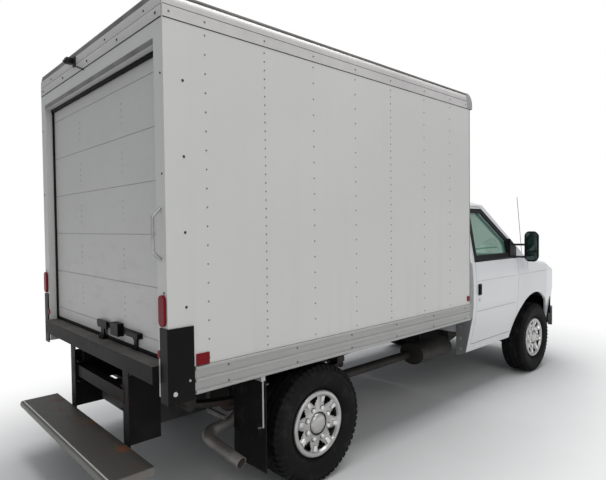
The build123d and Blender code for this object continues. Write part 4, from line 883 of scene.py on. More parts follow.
@dataclass
class RoadTyre:
    """One tyre: a turned carcass with ribs round the crown and lugs on its shoulders."""

    radius: float = 0.387
    half_width: float = 0.1225
    bead_radius: float = 0.222
    lugs: int = 54
    lug_foot: float = 0.372
    # inner edge, outer edge, length and lean outward of the two rows of lugs
    lug_rows: tuple[tuple[float, float, float, float], ...] = (
        (0.066, 0.1015, 0.029, 6.0), (0.035, 0.058, 0.036, 0.0))
    rib_middle: tuple[float, float] = (0.1052, 0.3655)
    rib_lean: float = 31.0

    def carcass(self) -> Outline:
        """The closed profile: one wall, the ribbed crown, the other wall and the cavity.

        Returns:
            Radius and distance along Y of each point.
        """
        half = (
            (0.2075, 0.060), (0.2075, 0.081), (self.bead_radius, 0.0825), (0.228, 0.094), (0.234, 0.093),
            (0.246, 0.107), (0.268, 0.118), (0.296, self.half_width), (0.322, 0.121), (0.326, 0.1223),
            (0.333, 0.1195), (0.352, 0.1125), (0.360, 0.1085), (0.3685, 0.1035), (0.3775, 0.097),
            (0.3785, 0.064), (0.3785, 0.062), (self.radius - 0.0005, 0.060), (self.radius, 0.033),
            (0.3785, 0.031), (0.3785, 0.023), (self.radius, 0.021))
        cavity = ((0.355, -0.095), (0.355, 0.095))
        return half + tuple((r, -y) for r, y in reversed(half)) + cavity

    def add_lug(self, shape: Shape, low: float, high: float, length: float, lean: float) -> None:
        """Adds one tread block at the top of the tyre.

        Args:
            shape: the mesh.
            low: its inner edge along Y.
            high: its outer edge along Y.
            length: its length round the tyre.
            lean: how far it leans down to the shoulder, in degrees.
        """
        pivot = Vector((0.0, low, self.radius))
        lean_turn = Matrix.Rotation(math.radians(lean), 4, "X")
        turn = Matrix.Translation(pivot) @ lean_turn @ Matrix.Translation(-pivot)
        shape.block((-length / 2, low, self.lug_foot), (length / 2, high, self.radius - 0.0006), turn=turn)

    def add_shoulder_rib(self, shape: Shape, sign: int) -> None:
        """Adds one raised rib that runs from the tread over the shoulder.

        Args:
            shape: the mesh.
            sign: the wheel's side, by the sign of Y.
        """
        across, up = self.rib_middle
        lean = Matrix.Rotation(math.radians(self.rib_lean * sign), 4, "X")
        turn = Matrix.Translation((0.0, sign * across, up)) @ lean
        shape.block((-0.0125, -0.0045, -0.0165), (0.0125, 0.0045, 0.0135), turn=turn)

    def build(self, name: str, centre: Sequence[float]) -> bpy.types.Object:
        """Builds the tyre.

        Args:
            name: the piece's name.
            centre: the wheel's middle point.

        Returns:
            The tyre in its place.
        """
        shape = Shape()
        shape.lathe(self.carcass(), 96, closed=True)
        for sign in BOTH_SIDES:
            for low, high, length, lean in self.lug_rows:
                lug = (sign * low, sign * high, length, -lean * sign)
                shape.ring_of(lambda: self.add_lug(shape, *lug), self.lugs)
            shape.ring_of(lambda: self.add_shoulder_rib(shape, sign), self.lugs)
        return shape.finish(name, ("tyre",), sharp=28, place=Matrix.Translation(centre))


@dataclass
class WheelCover:
    """One wheel: a dark steel rim behind a silver cover with vents, bars, nut bumps and a dome; the bars are a
    lighter silver, a painted highlight.
    """

    radius: float = 0.216
    vents: int = 8
    steps: int = 96
    # steps of the turn, within one vent's share, where the opening ends and where the bar stands
    opening_steps: int = 6
    bar_steps: tuple[int, int] = (7, 10)
    vent_inner: float = 0.124
    vent_outer: float = 0.180
    nut_circle: float = 0.100
    # circles that part the rows of faces between the vents' ends
    rows: tuple[float, float] = (0.139, 0.155)
    relief: float = 0.0075
    bar_taper: float = 0.82
    skin: float = 0.0022

    def add_cover(self, shape: Shape) -> None:
        """Adds the cover, turned, pierced and thickened.

        Args:
            shape: the mesh.
        """
        profile = [(0.0, -0.1095), (0.022, -0.1092), (0.042, -0.1075), (0.055, -0.1035), (0.063, -0.097),
                   (0.067, -0.088), (0.073, -0.0875), (0.077, -0.0945), (0.088, -0.0925), (0.112, -0.0900),
                   (self.vent_inner, -0.0905), (self.rows[0], -0.0925), (self.rows[1], -0.0950),
                   (self.vent_outer, -0.0975), (0.188, -0.1045), (0.197, -0.1078), (0.206, -0.1075),
                   (0.2125, -0.104), (self.radius, -0.0975), (self.radius, -0.0945)]
        shape.lathe(profile, self.steps, slots=(0, 0, 0, 0, 0, 1, 1))
        pitch = self.steps // self.vents
        holes, bars = [], {}
        for face in shape.bm.faces:
            middle = face.calc_center_median()
            reach = math.hypot(middle.x, middle.z)
            if not self.vent_inner < reach < self.vent_outer:
                continue
            turn = math.atan2(middle.z, middle.x) % (2 * math.pi)
            index = int(turn / (2 * math.pi) * self.steps) % pitch
            reach_in = sum(reach < row for row in self.rows)
            if reach_in <= index < self.opening_steps - reach_in:
                holes.append(face)
            elif self.bar_steps[0] <= index < self.bar_steps[1] and reach > self.rows[0]:
                bars.setdefault(int(turn / (2 * math.pi) * self.vents), []).append(face)
        for faces in bars.values():
            made = bmesh.ops.extrude_face_region(shape.bm, geom=faces)
            verts = [g for g in made["geom"] if isinstance(g, bmesh.types.BMVert)]
            middle = sum((v.co for v in verts), Vector()) / len(verts)
            bmesh.ops.scale(shape.bm, vec=(self.bar_taper, 1.0, self.bar_taper),
                            space=Matrix.Translation(-middle), verts=verts)
            bmesh.ops.translate(shape.bm, vec=(0.0, -self.relief, 0.0), verts=verts)
            for face in (g for g in made["geom"] if isinstance(g, bmesh.types.BMFace)):
                # the bars take the lighter silver: a painted highlight
                face.material_index = 3
            bmesh.ops.delete(shape.bm, geom=[f for f in faces if f.is_valid], context="FACES_ONLY")
        rims = {v for f in holes for v in f.verts}
        bmesh.ops.delete(shape.bm, geom=[f for f in holes if f.is_valid], context="FACES_ONLY")
        sunk = [v for v in rims if v.is_valid and v.link_faces]
        bmesh.ops.translate(shape.bm, vec=(0.0, self.relief, 0.0), verts=sunk)
        bmesh.ops.recalc_face_normals(shape.bm, faces=list(shape.bm.faces))
        bmesh.ops.solidify(shape.bm, geom=list(shape.bm.faces), thickness=self.skin)

    def add_nuts(self, shape: Shape) -> None:
        """Adds the bumps over the wheel nuts.

        Args:
            shape: the mesh.
        """
        turn = math.pi / self.vents
        x, z = self.nut_circle * math.cos(turn), self.nut_circle * math.sin(turn)

        def one() -> None:
            """Adds one bump on its short stem."""
            shape.bars((((x, -0.088, z), (x, -0.0920, z), 0.0200, 0.0195, 16, 1),
                        ((x, -0.090, z), (x, -0.1000, z), 0.0165, 0.0140, 14, 3)))
            shape.dome((x, -0.0990, z), (0.0142, 0.0085, 0.0142), slot=3, rings=6)

        shape.ring_of(one, self.vents)

    def add_rim(self, shape: Shape) -> None:
        """Adds the steel barrel, the disc and the brake drum behind the vents.

        Args:
            shape: the mesh.
        """
        profile = [(0.0305, 0.042), (0.078, 0.042), (0.078, -0.010), (0.165, -0.010), (0.1767, 0.012),
                   (0.1767, 0.075), (0.1947, 0.095), (0.2207, 0.095), (0.2207, 0.087), (0.2067, 0.083),
                   (0.1887, 0.055), (0.1887, -0.055), (0.2067, -0.083), (0.2207, -0.087), (0.2207, -0.094),
                   (0.1947, -0.0935), (0.1767, -0.075), (0.1767, -0.020), (0.0305, -0.020)]
        shape.lathe(profile, 64, slots=(2,) * len(profile), closed=True)

    def build(self, name: str, centre: Sequence[float], side: Side) -> bpy.types.Object:
        """Builds the wheel.

        Args:
            name: the piece's name.
            centre: the wheel's middle point.
            side: the van's side, to which the cover looks.

        Returns:
            The wheel in its place.
        """
        shape = Shape()
        self.add_cover(shape)
        self.add_nuts(shape)
        self.add_rim(shape)
        turn = Matrix.Rotation(math.pi, 4, "Z") if side is Side.LEFT else Matrix.Identity(4)
        return shape.finish(name, ("cover_silver", "wheel_black", "steel_black", "cover_bright"), sharp=38,
                            place=Matrix.Translation(centre) @ turn)


@dataclass
class RunningGear:
    """The four tyres and wheels."""

    tyre: RoadTyre = field(default_factory=RoadTyre)
    cover: WheelCover = field(default_factory=WheelCover)

    def build(self) -> None:
        """Builds all four corners on their own bodies."""
        for end in ("front", "rear"):
            for side in Side:
                corner = f"{end}_{side.word}"
                low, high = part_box(f"tyre_{corner}")
                centre = (low + high) / 2
                body = f"road_wheel_{corner}"
                tyre = self.tyre.build(f"road_tyre_{corner}", centre)
                fit(tyre, body, (f"tyre_{corner}",))
                wheel = self.cover.build(f"vented_wheel_{corner}", centre, side)
                fit(wheel, body, (f"wheel_{corner}",))


# Box body

# where the rear frame of the box ends
BOX_REAR = -2.5495


@dataclass
class BoxFasteners:
    """Rivets and screws of the box: columns on the side sheets, rows on the rails, the ends and the roof."""

    half: float = 1.016
    low: float = 0.985
    high: float = 2.700
    # place along X and pitch of each column on the side sheets
    columns: Outline = (
        (-2.3095, 0.100), (-1.9115, 0.050), (-1.5175, 0.100), (-1.1155, 0.100), (-0.7175, 0.050),
        (-0.2775, 0.100), (0.1125, 0.100))
    rivet: float = 0.0058
    head_height: float = 0.42
    roof_rail_z: float = 2.753
    roof_rail_ends: tuple[float, float] = (-2.515, 0.375)
    side_rail_x: tuple[float, ...] = (-2.19, -1.68, -1.17, -0.66, -0.15, 0.36)
    side_rail_z: tuple[float, ...] = (0.838, 0.925)
    post_x: float = -2.4425
    post_z: tuple[float, ...] = (1.270, 1.654, 2.041, 2.426)
    # first place along Y, pitch, height, count and radius of the rows on the header
    header_rows: tuple[tuple[float, float, float, int, float], ...] = (
        (-0.95, 0.475, 2.755, 5, 0.0085), (-0.82, 0.52, 2.806, 4, 0.007))
    rear_post_y: float = 0.985
    rear_post_z: tuple[float, ...] = (1.35, 1.95, 2.45)
    front_x: float = 0.4945
    front_low: float = 0.98
    front_pitch: float = 0.102
    front_count: int = 17
    stiffener_y: tuple[float, ...] = (-0.62, -0.31, 0.0, 0.31, 0.62)
    roof_y: float = 0.9545
    roof_z: float = 2.858
    roof_start: float = -2.48
    roof_pitch: float = 0.15
    roof_count: int = 20

    def stud(self, shape: Shape, spot: Sequence[float], out: Sequence[float], radius: float | None = None,
             slot: int = 0) -> None:
        """Adds one low-sided rivet head.

        Args:
            shape: the mesh.
            spot: where it sits.
            out: which way it faces.
            radius: its radius, the usual one if not given.
            slot: place of its material.
        """
        wide = radius or self.rivet
        tip = Vector(spot) + Vector(out) * wide * self.head_height
        shape.drum(Vector(spot) - Vector(out) * 0.0004, tip, wide, wide * 0.62, 7, slot)

    def side_columns(self, shape: Shape, sign: int) -> None:
        """Adds one side's fasteners: columns on the sheet, rows on both rails and screws on the rear post.

        Args:
            shape: the mesh.
            sign: the van's side, by the sign of Y.
        """
        out = (0, sign, 0)
        for x, pitch in self.columns:
            for n in range(int((self.high - self.low) / pitch) + 1):
                self.stud(shape, (x, sign * self.half, self.low + n * pitch), out)
        for x in (self.roof_rail_ends[0], *(column[0] for column in self.columns), self.roof_rail_ends[1]):
            self.stud(shape, (x, sign * (self.half + 0.003), self.roof_rail_z), out, 0.007)
        for x in self.side_rail_x:
            for z in self.side_rail_z:
                self.stud(shape, (x, sign * (self.half + 0.0025), z), out, 0.0075)
        for z in self.post_z:
            self.stud(shape, (self.post_x, sign * self.half, z), out, 0.0085, 1)

    def rear_rows(self, shape: Shape) -> None:
        """Adds the screws of the header and the posts.

        Args:
            shape: the mesh.
        """
        back = (-1, 0, 0)
        for first, pitch, z, count, radius in self.header_rows:
            for n in range(count):
                self.stud(shape, (BOX_REAR - 0.0035, first + n * pitch, z), back, radius, 1)
        for sign in BOTH_SIDES:
            for z in self.rear_post_z:
                self.stud(shape, (BOX_REAR, sign * self.rear_post_y, z), back, 0.007, 1)

    def front_rows(self, shape: Shape) -> None:
        """Adds the rivets of the front wall's stiffeners.

        Args:
            shape: the mesh.
        """
        for y in self.stiffener_y:
            for n in range(self.front_count):
                self.stud(shape, (self.front_x, y, self.front_low + n * self.front_pitch), (1, 0, 0))

    def roof_rows(self, shape: Shape) -> None:
        """Adds the rivets that hold the roof sheet to its rails.

        Args:
            shape: the mesh.
        """
        for n in range(self.roof_count):
            x = self.roof_start + n * self.roof_pitch
            for sign in BOTH_SIDES:
                self.stud(shape, (x, sign * self.roof_y, self.roof_z), (0, 0, 1), 0.006)

    def build(self) -> None:
        """Builds one piece for each side and one for the ends and the roof."""
        finishes = ("rivet_grey", "gap_dark")
        for side in Side:
            shape = Shape()
            self.side_columns(shape, side.value)
            fit(shape.finish(f"side_rivets_{side.word}", finishes), "van")
        shape = Shape()
        self.rear_rows(shape)
        self.front_rows(shape)
        self.roof_rows(shape)
        fit(shape.finish("end_rivets", finishes), "van")


@dataclass
class RoofEdge:
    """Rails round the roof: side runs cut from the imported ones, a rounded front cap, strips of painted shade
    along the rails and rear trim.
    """

    cap_x: float = 0.4000
    front_x: float = 0.4983
    half: float = 1.019
    low: float = 2.723
    high: float = 2.858
    cap_round: float = 0.094
    side_round: float = 0.044
    corner_y: float = 0.93
    # dark strips of painted shade under the roof rail and along its middle, a grey band of painted shade on the
    # roof sheet's folded edge, and a dark strip of painted shade over the side rail
    side_joints: tuple[Block, ...] = (
        ((BOX_REAR + 0.001, 1.010, 2.7185), (0.4683, 1.0175, 2.723), 0.0, 0),
        ((BOX_REAR + 0.001, 1.015, 2.7835), (0.400, 1.0196, 2.7862), 0.0, 0),
        ((BOX_REAR + 0.001, 0.968, 2.849), (0.420, 1.0035, 2.8625), 0.004, 1),
        ((-2.5215, 1.010, 0.949), (0.4432, 1.0195, 0.9545), 0.0, 0))
    # lower and upper half of the rear rail, a dark backing that is painted shade in its seam and under it, and
    # the roof's edge and the lip under the header, grey with painted shade
    trims: tuple[Block, ...] = (
        ((BOX_REAR - 0.0032, -1.0035, 2.727), (BOX_REAR + 0.002, 1.0035, 2.7825), 0.001, 0),
        ((BOX_REAR - 0.0032, -1.0035, 2.7855), (BOX_REAR + 0.002, 1.0035, 2.8375), 0.001, 0),
        ((BOX_REAR - 0.0008, -1.0035, 2.720), (BOX_REAR + 0.002, 1.0035, 2.840), 0.0, 1),
        ((BOX_REAR - 0.0045, -0.965, 2.836), (BOX_REAR + 0.030, 0.965, 2.868), 0.003, 2),
        ((BOX_REAR - 0.0045, -0.912, 2.6112), (BOX_REAR + 0.010, 0.912, 2.640), 0.002, 2))

    def runs(self) -> None:
        """Builds the side runs, cut off where the cap begins."""
        shape = Shape()
        shape.bm.from_mesh(frame["nodes"]["roof_rails"].data)
        whole = list(shape.bm.verts) + list(shape.bm.edges) + list(shape.bm.faces)
        cut = bmesh.ops.bisect_plane(shape.bm, geom=whole, plane_co=(self.cap_x, 0, 0), plane_no=(1, 0, 0),
                                     clear_outer=True)
        edges = [g for g in cut["geom_cut"] if isinstance(g, bmesh.types.BMEdge)]
        bmesh.ops.holes_fill(shape.bm, edges=edges, sides=0)
        piece = shape.finish("roof_rail_runs", ("rail_aluminium",), outward=False)
        fit(piece, "van", ("roof_rails",))

    def cap(self) -> None:
        """Builds the front cap: one rounded length from side to side, darker at its two corners."""
        shape = Shape()
        shape.block((self.cap_x + 0.0005, -self.half, self.low), (self.front_x, self.half, self.high))
        top_front = [e for e in shape.bm.edges
                     if all(v.co.x > self.front_x - 0.001 and v.co.z > self.high - 0.001 for v in e.verts)]
        bmesh.ops.bevel(shape.bm, geom=top_front, offset=self.cap_round, affect="EDGES", segments=8,
                        profile=0.5, material=-1, clamp_overlap=True)
        sides = [e for e in shape.bm.edges
                 if all(abs(v.co.y) > self.half - 0.001 for v in e.verts)
                 and not all(v.co.x < self.cap_x + 0.001 for v in e.verts)
                 and not all(v.co.z < self.low + 0.001 for v in e.verts)]
        bmesh.ops.bevel(shape.bm, geom=sides, offset=self.side_round, affect="EDGES", segments=4,
                        profile=0.5, material=-1, clamp_overlap=True)
        for y in (-self.corner_y, self.corner_y):
            whole = list(shape.bm.verts) + list(shape.bm.edges) + list(shape.bm.faces)
            bmesh.ops.bisect_plane(shape.bm, geom=whole, plane_co=(0, y, 0), plane_no=(0, 1, 0))
        for face in shape.bm.faces:
            face.material_index = 1 if abs(face.calc_center_median().y) > self.corner_y else 0
        piece = shape.finish("roof_front_cap", ("rail_aluminium", "skirt_aluminium"), sharp=40)
        fit(piece, "van", ("front_rail",))

    def build(self) -> None:
        """Builds the rails, the cap, the strips of painted shade and the rear trim."""
        self.runs()
        self.cap()
        # strips of painted shade under, along and over the rails, and grey painted shade on the roof sheet's
        # edge
        add_piece("rail_joints", ("gap_dark", "edge_grey"), "van", self.side_joints,
                  sides=BOTH_SIDES)
        add_piece("rear_rail_trim", ("rail_aluminium", "gap_dark", "edge_grey"), "van",
                  self.trims)


@dataclass
class DoorCurtain:
    """Screws, seals and pull strap of the roll-up door."""

    face: float = -2.4892
    seams: tuple[float, ...] = (1.067, 1.356, 1.645, 1.934, 2.223)
    columns: tuple[float, ...] = (-0.365, 0.345)
    group_start: float = 0.085
    group_pitch: float = 0.038
    # along the bottom, down both sides and under the head of the opening
    seals: tuple[Block, ...] = (
        ((-2.4952, -0.914, 0.9685), (-2.4852, 0.914, 0.992), 0.003, 0),
        ((-2.5032, -0.899, 0.972), (-2.4897, -0.915, 2.6105), 0.002, 0),
        ((-2.5032, 0.899, 0.972), (-2.4897, 0.915, 2.6105), 0.002, 0),
        ((-2.5092, -0.915, 2.588), (-2.4897, 0.915, 2.6105), 0.003, 0))
    # the strap and its clamp
    strap: tuple[Block, ...] = (
        ((-2.4992, -0.545, 0.965), (-2.4922, -0.500, 1.045), 0.002, 0),
        ((-2.5032, -0.550, 1.030), (-2.4897, -0.495, 1.052), 0.002, 0))

    def screws(self) -> tuple[Bar, ...]:
        """The groups of four screws on each panel, in two columns.

        Returns:
            Their table.
        """
        front, back = self.face + 0.0004, self.face - 0.0028
        heights = [seam + self.group_start + n * self.group_pitch for seam in self.seams for n in range(4)]
        return tuple(((front, y, z), (back, y, z), 0.0062, 0.004, 7, 0)
                     for z in heights for y in self.columns)

    def build(self) -> None:
        """Builds the door's small parts."""
        add_piece("door_screws", ("zinc",), "van", bars=self.screws())
        add_piece("door_seals", ("flap_rubber",), "van", self.seals)
        add_piece("pull_strap", ("boot_black",), "van", self.strap)


@dataclass
class RearHardware:
    """Bolt and plug of each corner boot, the worn tread on the rear sill and the camera over the door."""

    # a bolt and a round plug
    boot_bars: tuple[Bar, ...] = (
        ((-2.4335, 1.0236, 0.890), (-2.4335, 1.0286, 0.890), 0.008, 0.006, 8, 0),
        ((-2.5175, 1.0236, 0.837), (-2.5175, 1.0296, 0.837), 0.013, 0.011, 12, 1))
    tread_plate: Block = ((-2.5868, -0.9130, 0.9672), (-2.4905, 0.9130, 0.9690), 0.0, 0)
    tread_x: tuple[float, float] = (-2.5850, -2.5765)
    tread_pitch: float = 0.016
    tread_count: int = 6
    # the camera's housing and foot
    camera_blocks: tuple[Block, ...] = (
        ((-2.5995, 0.245, 2.800), (-2.5505, 0.300, 2.838), 0.006, 0),
        ((-2.5615, 0.200, 2.770), (-2.5505, 0.245, 2.835), 0.003, 0))
    # the camera's eye and wire
    camera_bars: tuple[Bar, ...] = (
        ((-2.5985, 0.272, 2.812), (-2.6095, 0.272, 2.806), 0.012, 0.011, 14, 0),
        ((-2.5555, 0.215, 2.775), (-2.5555, 0.060, 2.715), 0.0045, 0.0045, 8, 0))

    def tread(self) -> tuple[Block, ...]:
        """The sill's plate and its ribs.

        Returns:
            Their table.
        """
        low, high = self.tread_x
        shifts = [n * self.tread_pitch for n in range(self.tread_count)]
        ribs = [((low + x, -0.9128, 0.9685), (high + x, 0.9128, 0.9704), 0.0004, 0) for x in shifts]
        return (self.tread_plate, *ribs)

    def build(self) -> None:
        """Builds the hardware in its own finishes."""
        add_piece("rear_bolts", ("zinc", "door_white"), "van", bars=self.boot_bars, sides=BOTH_SIDES)
        add_piece("sill_tread", ("sill_worn",), "van", self.tread())
        add_piece("rear_camera", ("mirror_black",), "van", self.camera_blocks,
                  self.camera_bars)


# Cab


@dataclass
class DoorDress:
    """What a cab door carries: window seal, belt strips, handle and lock, mirror glasses, and strips of painted
    shade along its pressed lines.
    """

    side: Side
    # X and Z of the window seal's outer and inner edge
    outline: Outline = ((0.632, 1.3205), (1.400, 1.3205), (1.400, 1.5103), (0.9116, 1.835), (0.632, 1.835))
    opening: Outline = ((0.678, 1.385), (1.330, 1.385), (1.330, 1.5015), (0.898, 1.789), (0.678, 1.789))
    # foot, outer face and inner lip of the seal over the skin
    seal_lifts: tuple[float, float, float] = (0.0005, 0.0055, -0.012)
    # under the glass, and the dark inner sill behind it
    strips: tuple[Block, ...] = (
        ((0.640, 0.966, 1.322), (1.500, 0.9765, 1.345), 0.003, 0),
        ((0.675, 0.905, 1.333), (1.355, 0.935, 1.372), 0.004, 0))
    # the recess and the upright pull
    pull: tuple[Block, ...] = (
        ((0.640, 1.0, 1.010), (0.708, 1.003, 1.118), 0.004, 0),
        ((0.650, 1.0, 1.020), (0.678, 1.022, 1.110), 0.006, 0))
    lock: Bar = ((0.664, 1.0, 0.968), (0.664, 1.006, 0.968), 0.013, 0.011, 14, 1)
    # the main glass of the mirror and the wide-view glass under it
    glasses: tuple[Block, ...] = (
        ((1.4972, 1.082, 1.402), (1.5030, 1.194, 1.585), 0.0025, 0),
        ((1.4972, 1.082, 1.306), (1.5030, 1.194, 1.388), 0.0025, 0))
    # strips of painted shade along the door's two pressed lines
    creases: tuple[Block, ...] = (
        ((0.624, 0.9990, 1.1435), (1.430, 1.0004, 1.1459), 0.0, 0),
        ((0.624, 0.9990, 0.8580), (1.430, 1.0004, 0.8604), 0.0, 0))

    def skin(self, z: float) -> float:
        """How far the leaning part of the door's skin stands from the middle plane at a height."""
        return 0.970 - 0.1788 * (max(z, 1.325) - 1.324)

    def seal(self) -> None:
        """Builds the black frame round the window, a band that follows the leaning glass."""
        shape = Shape()
        foot, face, lip = self.seal_lifts
        loops = [[shape.bm.verts.new((x, self.side.value * (self.skin(z) + lift), z)) for x, z in points]
                 for lift, points in ((foot, self.outline), (face, self.outline), (face, self.opening),
                                      (lip, self.opening))]
        for near, far in zip(loops, loops[1:] + loops[:1]):
            for k in range(len(near)):
                after = (k + 1) % len(near)
                shape.bm.faces.new((near[k], near[after], far[after], far[k]))
        fit(shape.finish(f"window_seal_{self.side.word}", ("mirror_black",)), f"cab_door_{self.side.word}")

    def add(self, name: str, finishes: Sequence[str], slot: str, blocks: Sequence[Block],
            bars: Sequence[Bar] = ()) -> None:
        """Builds one piece on the door.

        Args:
            name: its name without the side.
            finishes: its finishes, in the order of its material places.
            slot: the record's slot of its main finish; not used.
            blocks: its blocks.
            bars: its round bars.
        """
        word = self.side.word
        add_piece(f"{name}_{word}", finishes, f"cab_door_{word}", blocks, bars, (self.side.value,))

    def build(self) -> None:
        """Builds the door's dress on its body."""
        self.add("door_creases", ("seam_grey",), "body_white", self.creases)
        self.seal()
        self.add("belt_strip", ("mirror_black",), "mirror_black", self.strips)
        self.add("door_handle", ("mirror_black", "zinc"), "mirror_black", self.pull, (self.lock,))
        self.add("mirror_glass", ("mirror_glass",), "glass", self.glasses)


@dataclass
class CabDress:
    """Small parts of the cab: dark panels in the front arches, grille bars, wipers and strips of painted shade
    along the fender lines.
    """

    nose_x: float = 2.7428
    # along the engine, and behind the bumper
    aprons: tuple[Block, ...] = (
        ((1.640, 0.580, 0.705), (2.440, 0.584, 1.040), 0.001, 0),
        ((2.520, 0.450, 0.600), (2.524, 0.945, 0.800), 0.001, 0))
    radiator: Block = ((2.505, -0.560, 0.640), (2.530, 0.560, 1.000), 0.004, 0)
    fin_count: int = 23
    fin_pitch: float = 0.0148
    slat_count: int = 6
    slat_low: float = 0.768
    slat_pitch: float = 0.048
    stays_y: tuple[float, ...] = (-0.26, 0.0, 0.26)
    # a strip of painted shade along each fender's pressed line
    fender_lines: tuple[Block, ...] = (((1.5250, 0.9990, 1.1435), (2.380, 1.0003, 1.1457), 0.0, 0),)
    # along and away from the windscreen, and the wipers' feet on it
    screen_up: Point = (-0.8327, 0.0, 0.5537)
    screen_out: Point = (0.5537, 0.0, 0.8327)
    screen_foot: Point = (1.858, 0.0, 1.333)
    # place along Y and sweep of each wiper
    wiper_runs: Outline = ((0.42, -0.52), (-0.12, -0.50))

    def arches(self) -> None:
        """Builds the panels that close the front arches towards the engine, and the radiator's face."""
        shape = Shape()
        for side in BOTH_SIDES:
            shape.blocks(self.aprons, side)
        shape.blocks((self.radiator,))
        for n in range(self.fin_count):
            z = n * self.fin_pitch
            shape.block((2.529, -0.545, 0.655 + z), (2.533, 0.545, 0.661 + z))
        fit(shape.finish("arch_aprons", ("flap_rubber",)), "van")

    def slats(self) -> None:
        """Builds the grille's bars and the stays behind them."""
        shape = Shape()
        for n in range(self.slat_count):
            z = self.slat_low + n * self.slat_pitch
            shape.block((self.nose_x - 0.018, -0.523, z), (self.nose_x - 0.002, 0.523, z + 0.013), 0.003)
        for y in self.stays_y:
            shape.block((self.nose_x - 0.022, y - 0.006, 0.745), (self.nose_x - 0.010, y + 0.006, 1.035),
                        0.002)
        fit(shape.finish("grille_bars", ("grille_grey",)), "van")

    def wipers(self) -> None:
        """Builds the two wipers at rest on the windscreen."""
        shape = Shape()
        up, out = Vector(self.screen_up), Vector(self.screen_out)
        foot = Vector(self.screen_foot) + out * 0.010
        for y, run in self.wiper_runs:
            pivot = foot + Vector((0.0, y, 0.0))
            tip = pivot + up * 0.10 + Vector((0.0, run * 0.72, 0.0)) + out * 0.006
            blade_low = tip - up * 0.03 + Vector((0.0, -run * 0.40, 0.0))
            blade_high = tip + up * 0.03 + Vector((0.0, run * 0.32, 0.0))
            shape.drum(pivot - out * 0.012, pivot + out * 0.012, 0.014, 0.011, 12)
            shape.drum(pivot, tip, 0.0055, 0.0045, 8)
            shape.drum(blade_low, blade_high, 0.0062, 0.0062, 6)
        fit(shape.finish("wipers", ("mirror_black",)), "van")

    def build(self) -> None:
        """Builds the cab's small parts."""
        self.arches()
        self.slats()
        self.wipers()
        add_piece("fender_creases", ("seam_grey",), "van", self.fender_lines, sides=BOTH_SIDES)


# Seats


@dataclass
class Cushion:
    """One stuffed piece: a rounded block that is blown up as cloth, with sewn seams pressed in afterwards."""

    sizes: Point
    place: Matrix
    rounding: float = 0.030
    grid: float = 0.010
    limit: float = 0.022
    pressure: float = 4.0
    frames: int = 20
    stiffness: float = 15.0
    bending: float = 0.6
    seam_width: float = 0.011
    seam_depth: float = 0.006
    seams_y: tuple[float, ...] = ()
    seams_z: tuple[float, ...] = ()

    def body(self, name: str) -> bpy.types.Object:
        """The rounded block, meshed evenly.

        Args:
            name: the piece's name.

        Returns:
            The object, about its own middle.
        """
        shape = Shape()
        half = [s / 2 for s in self.sizes]
        shape.block([-h for h in half], half, self.rounding)
        piece = shape.finish(name, ("seat_fabric",), sharp=60)
        remesh = piece.modifiers.new("even", "REMESH")
        remesh.mode = "VOXEL"
        remesh.voxel_size = self.grid
        self.bake(piece)
        return piece

    def bake(self, piece: bpy.types.Object) -> None:
        """Puts the modifiers' result into the mesh.

        Args:
            piece: the object.
        """
        tree = bpy.context.evaluated_depsgraph_get()
        made = bpy.data.meshes.new_from_object(piece.evaluated_get(tree))
        piece.modifiers.clear()
        old = piece.data
        piece.data = made
        bpy.data.meshes.remove(old)

    def blow(self, piece: bpy.types.Object) -> None:
        """Blows the piece up as cloth, with each point's way kept within the limit.

        Args:
            piece: the object.
        """
        before = [v.co.copy() for v in piece.data.vertices]
        cloth = piece.modifiers.new("cloth", "CLOTH")
        cloth.settings.quality = 4
        cloth.settings.tension_stiffness = self.stiffness
        cloth.settings.compression_stiffness = self.stiffness
        cloth.settings.bending_stiffness = self.bending
        cloth.settings.use_pressure = True
        cloth.settings.uniform_pressure_force = self.pressure
        cloth.settings.effector_weights.gravity = 0.0
        cloth.point_cache.frame_start, cloth.point_cache.frame_end = 1, self.frames
        for step in range(1, self.frames + 1):
            bpy.context.scene.frame_set(step)
        self.bake(piece)
        bpy.context.scene.frame_set(1)
        for vertex, start in zip(piece.data.vertices, before):
            way = vertex.co - start
            if way.length > self.limit:
                vertex.co = start + way * (self.limit / way.length)

    def sew(self, piece: bpy.types.Object) -> None:
        """Presses the seams into the cover.

        Args:
            piece: the object.
        """
        moved = []
        for vertex in piece.data.vertices:
            gaps = [abs(vertex.co.y - y) for y in self.seams_y] + [abs(vertex.co.z - z) for z in self.seams_z]
            near = min(gaps, default=1.0)
            if near < self.seam_width:
                depth = self.seam_depth * (1 - near / self.seam_width)
                moved.append((vertex, vertex.normal.copy() * depth))
        for vertex, depth in moved:
            vertex.co -= depth

    def build(self, name: str) -> bpy.types.Object:
        """Builds the piece in its place.

        Args:
            name: its name.

        Returns:
            The finished cushion.
        """
        piece = self.body(name)
        self.blow(piece)
        self.sew(piece)
        piece.data.transform(self.place)
        smooth = piece.modifiers.new("smooth", "SUBSURF")
        smooth.levels = smooth.render_levels = 1
        piece.data.materials.clear()
        piece.data.materials.append(PALETTE.get("seat_fabric"))
        piece.data.shade_smooth()
        return piece


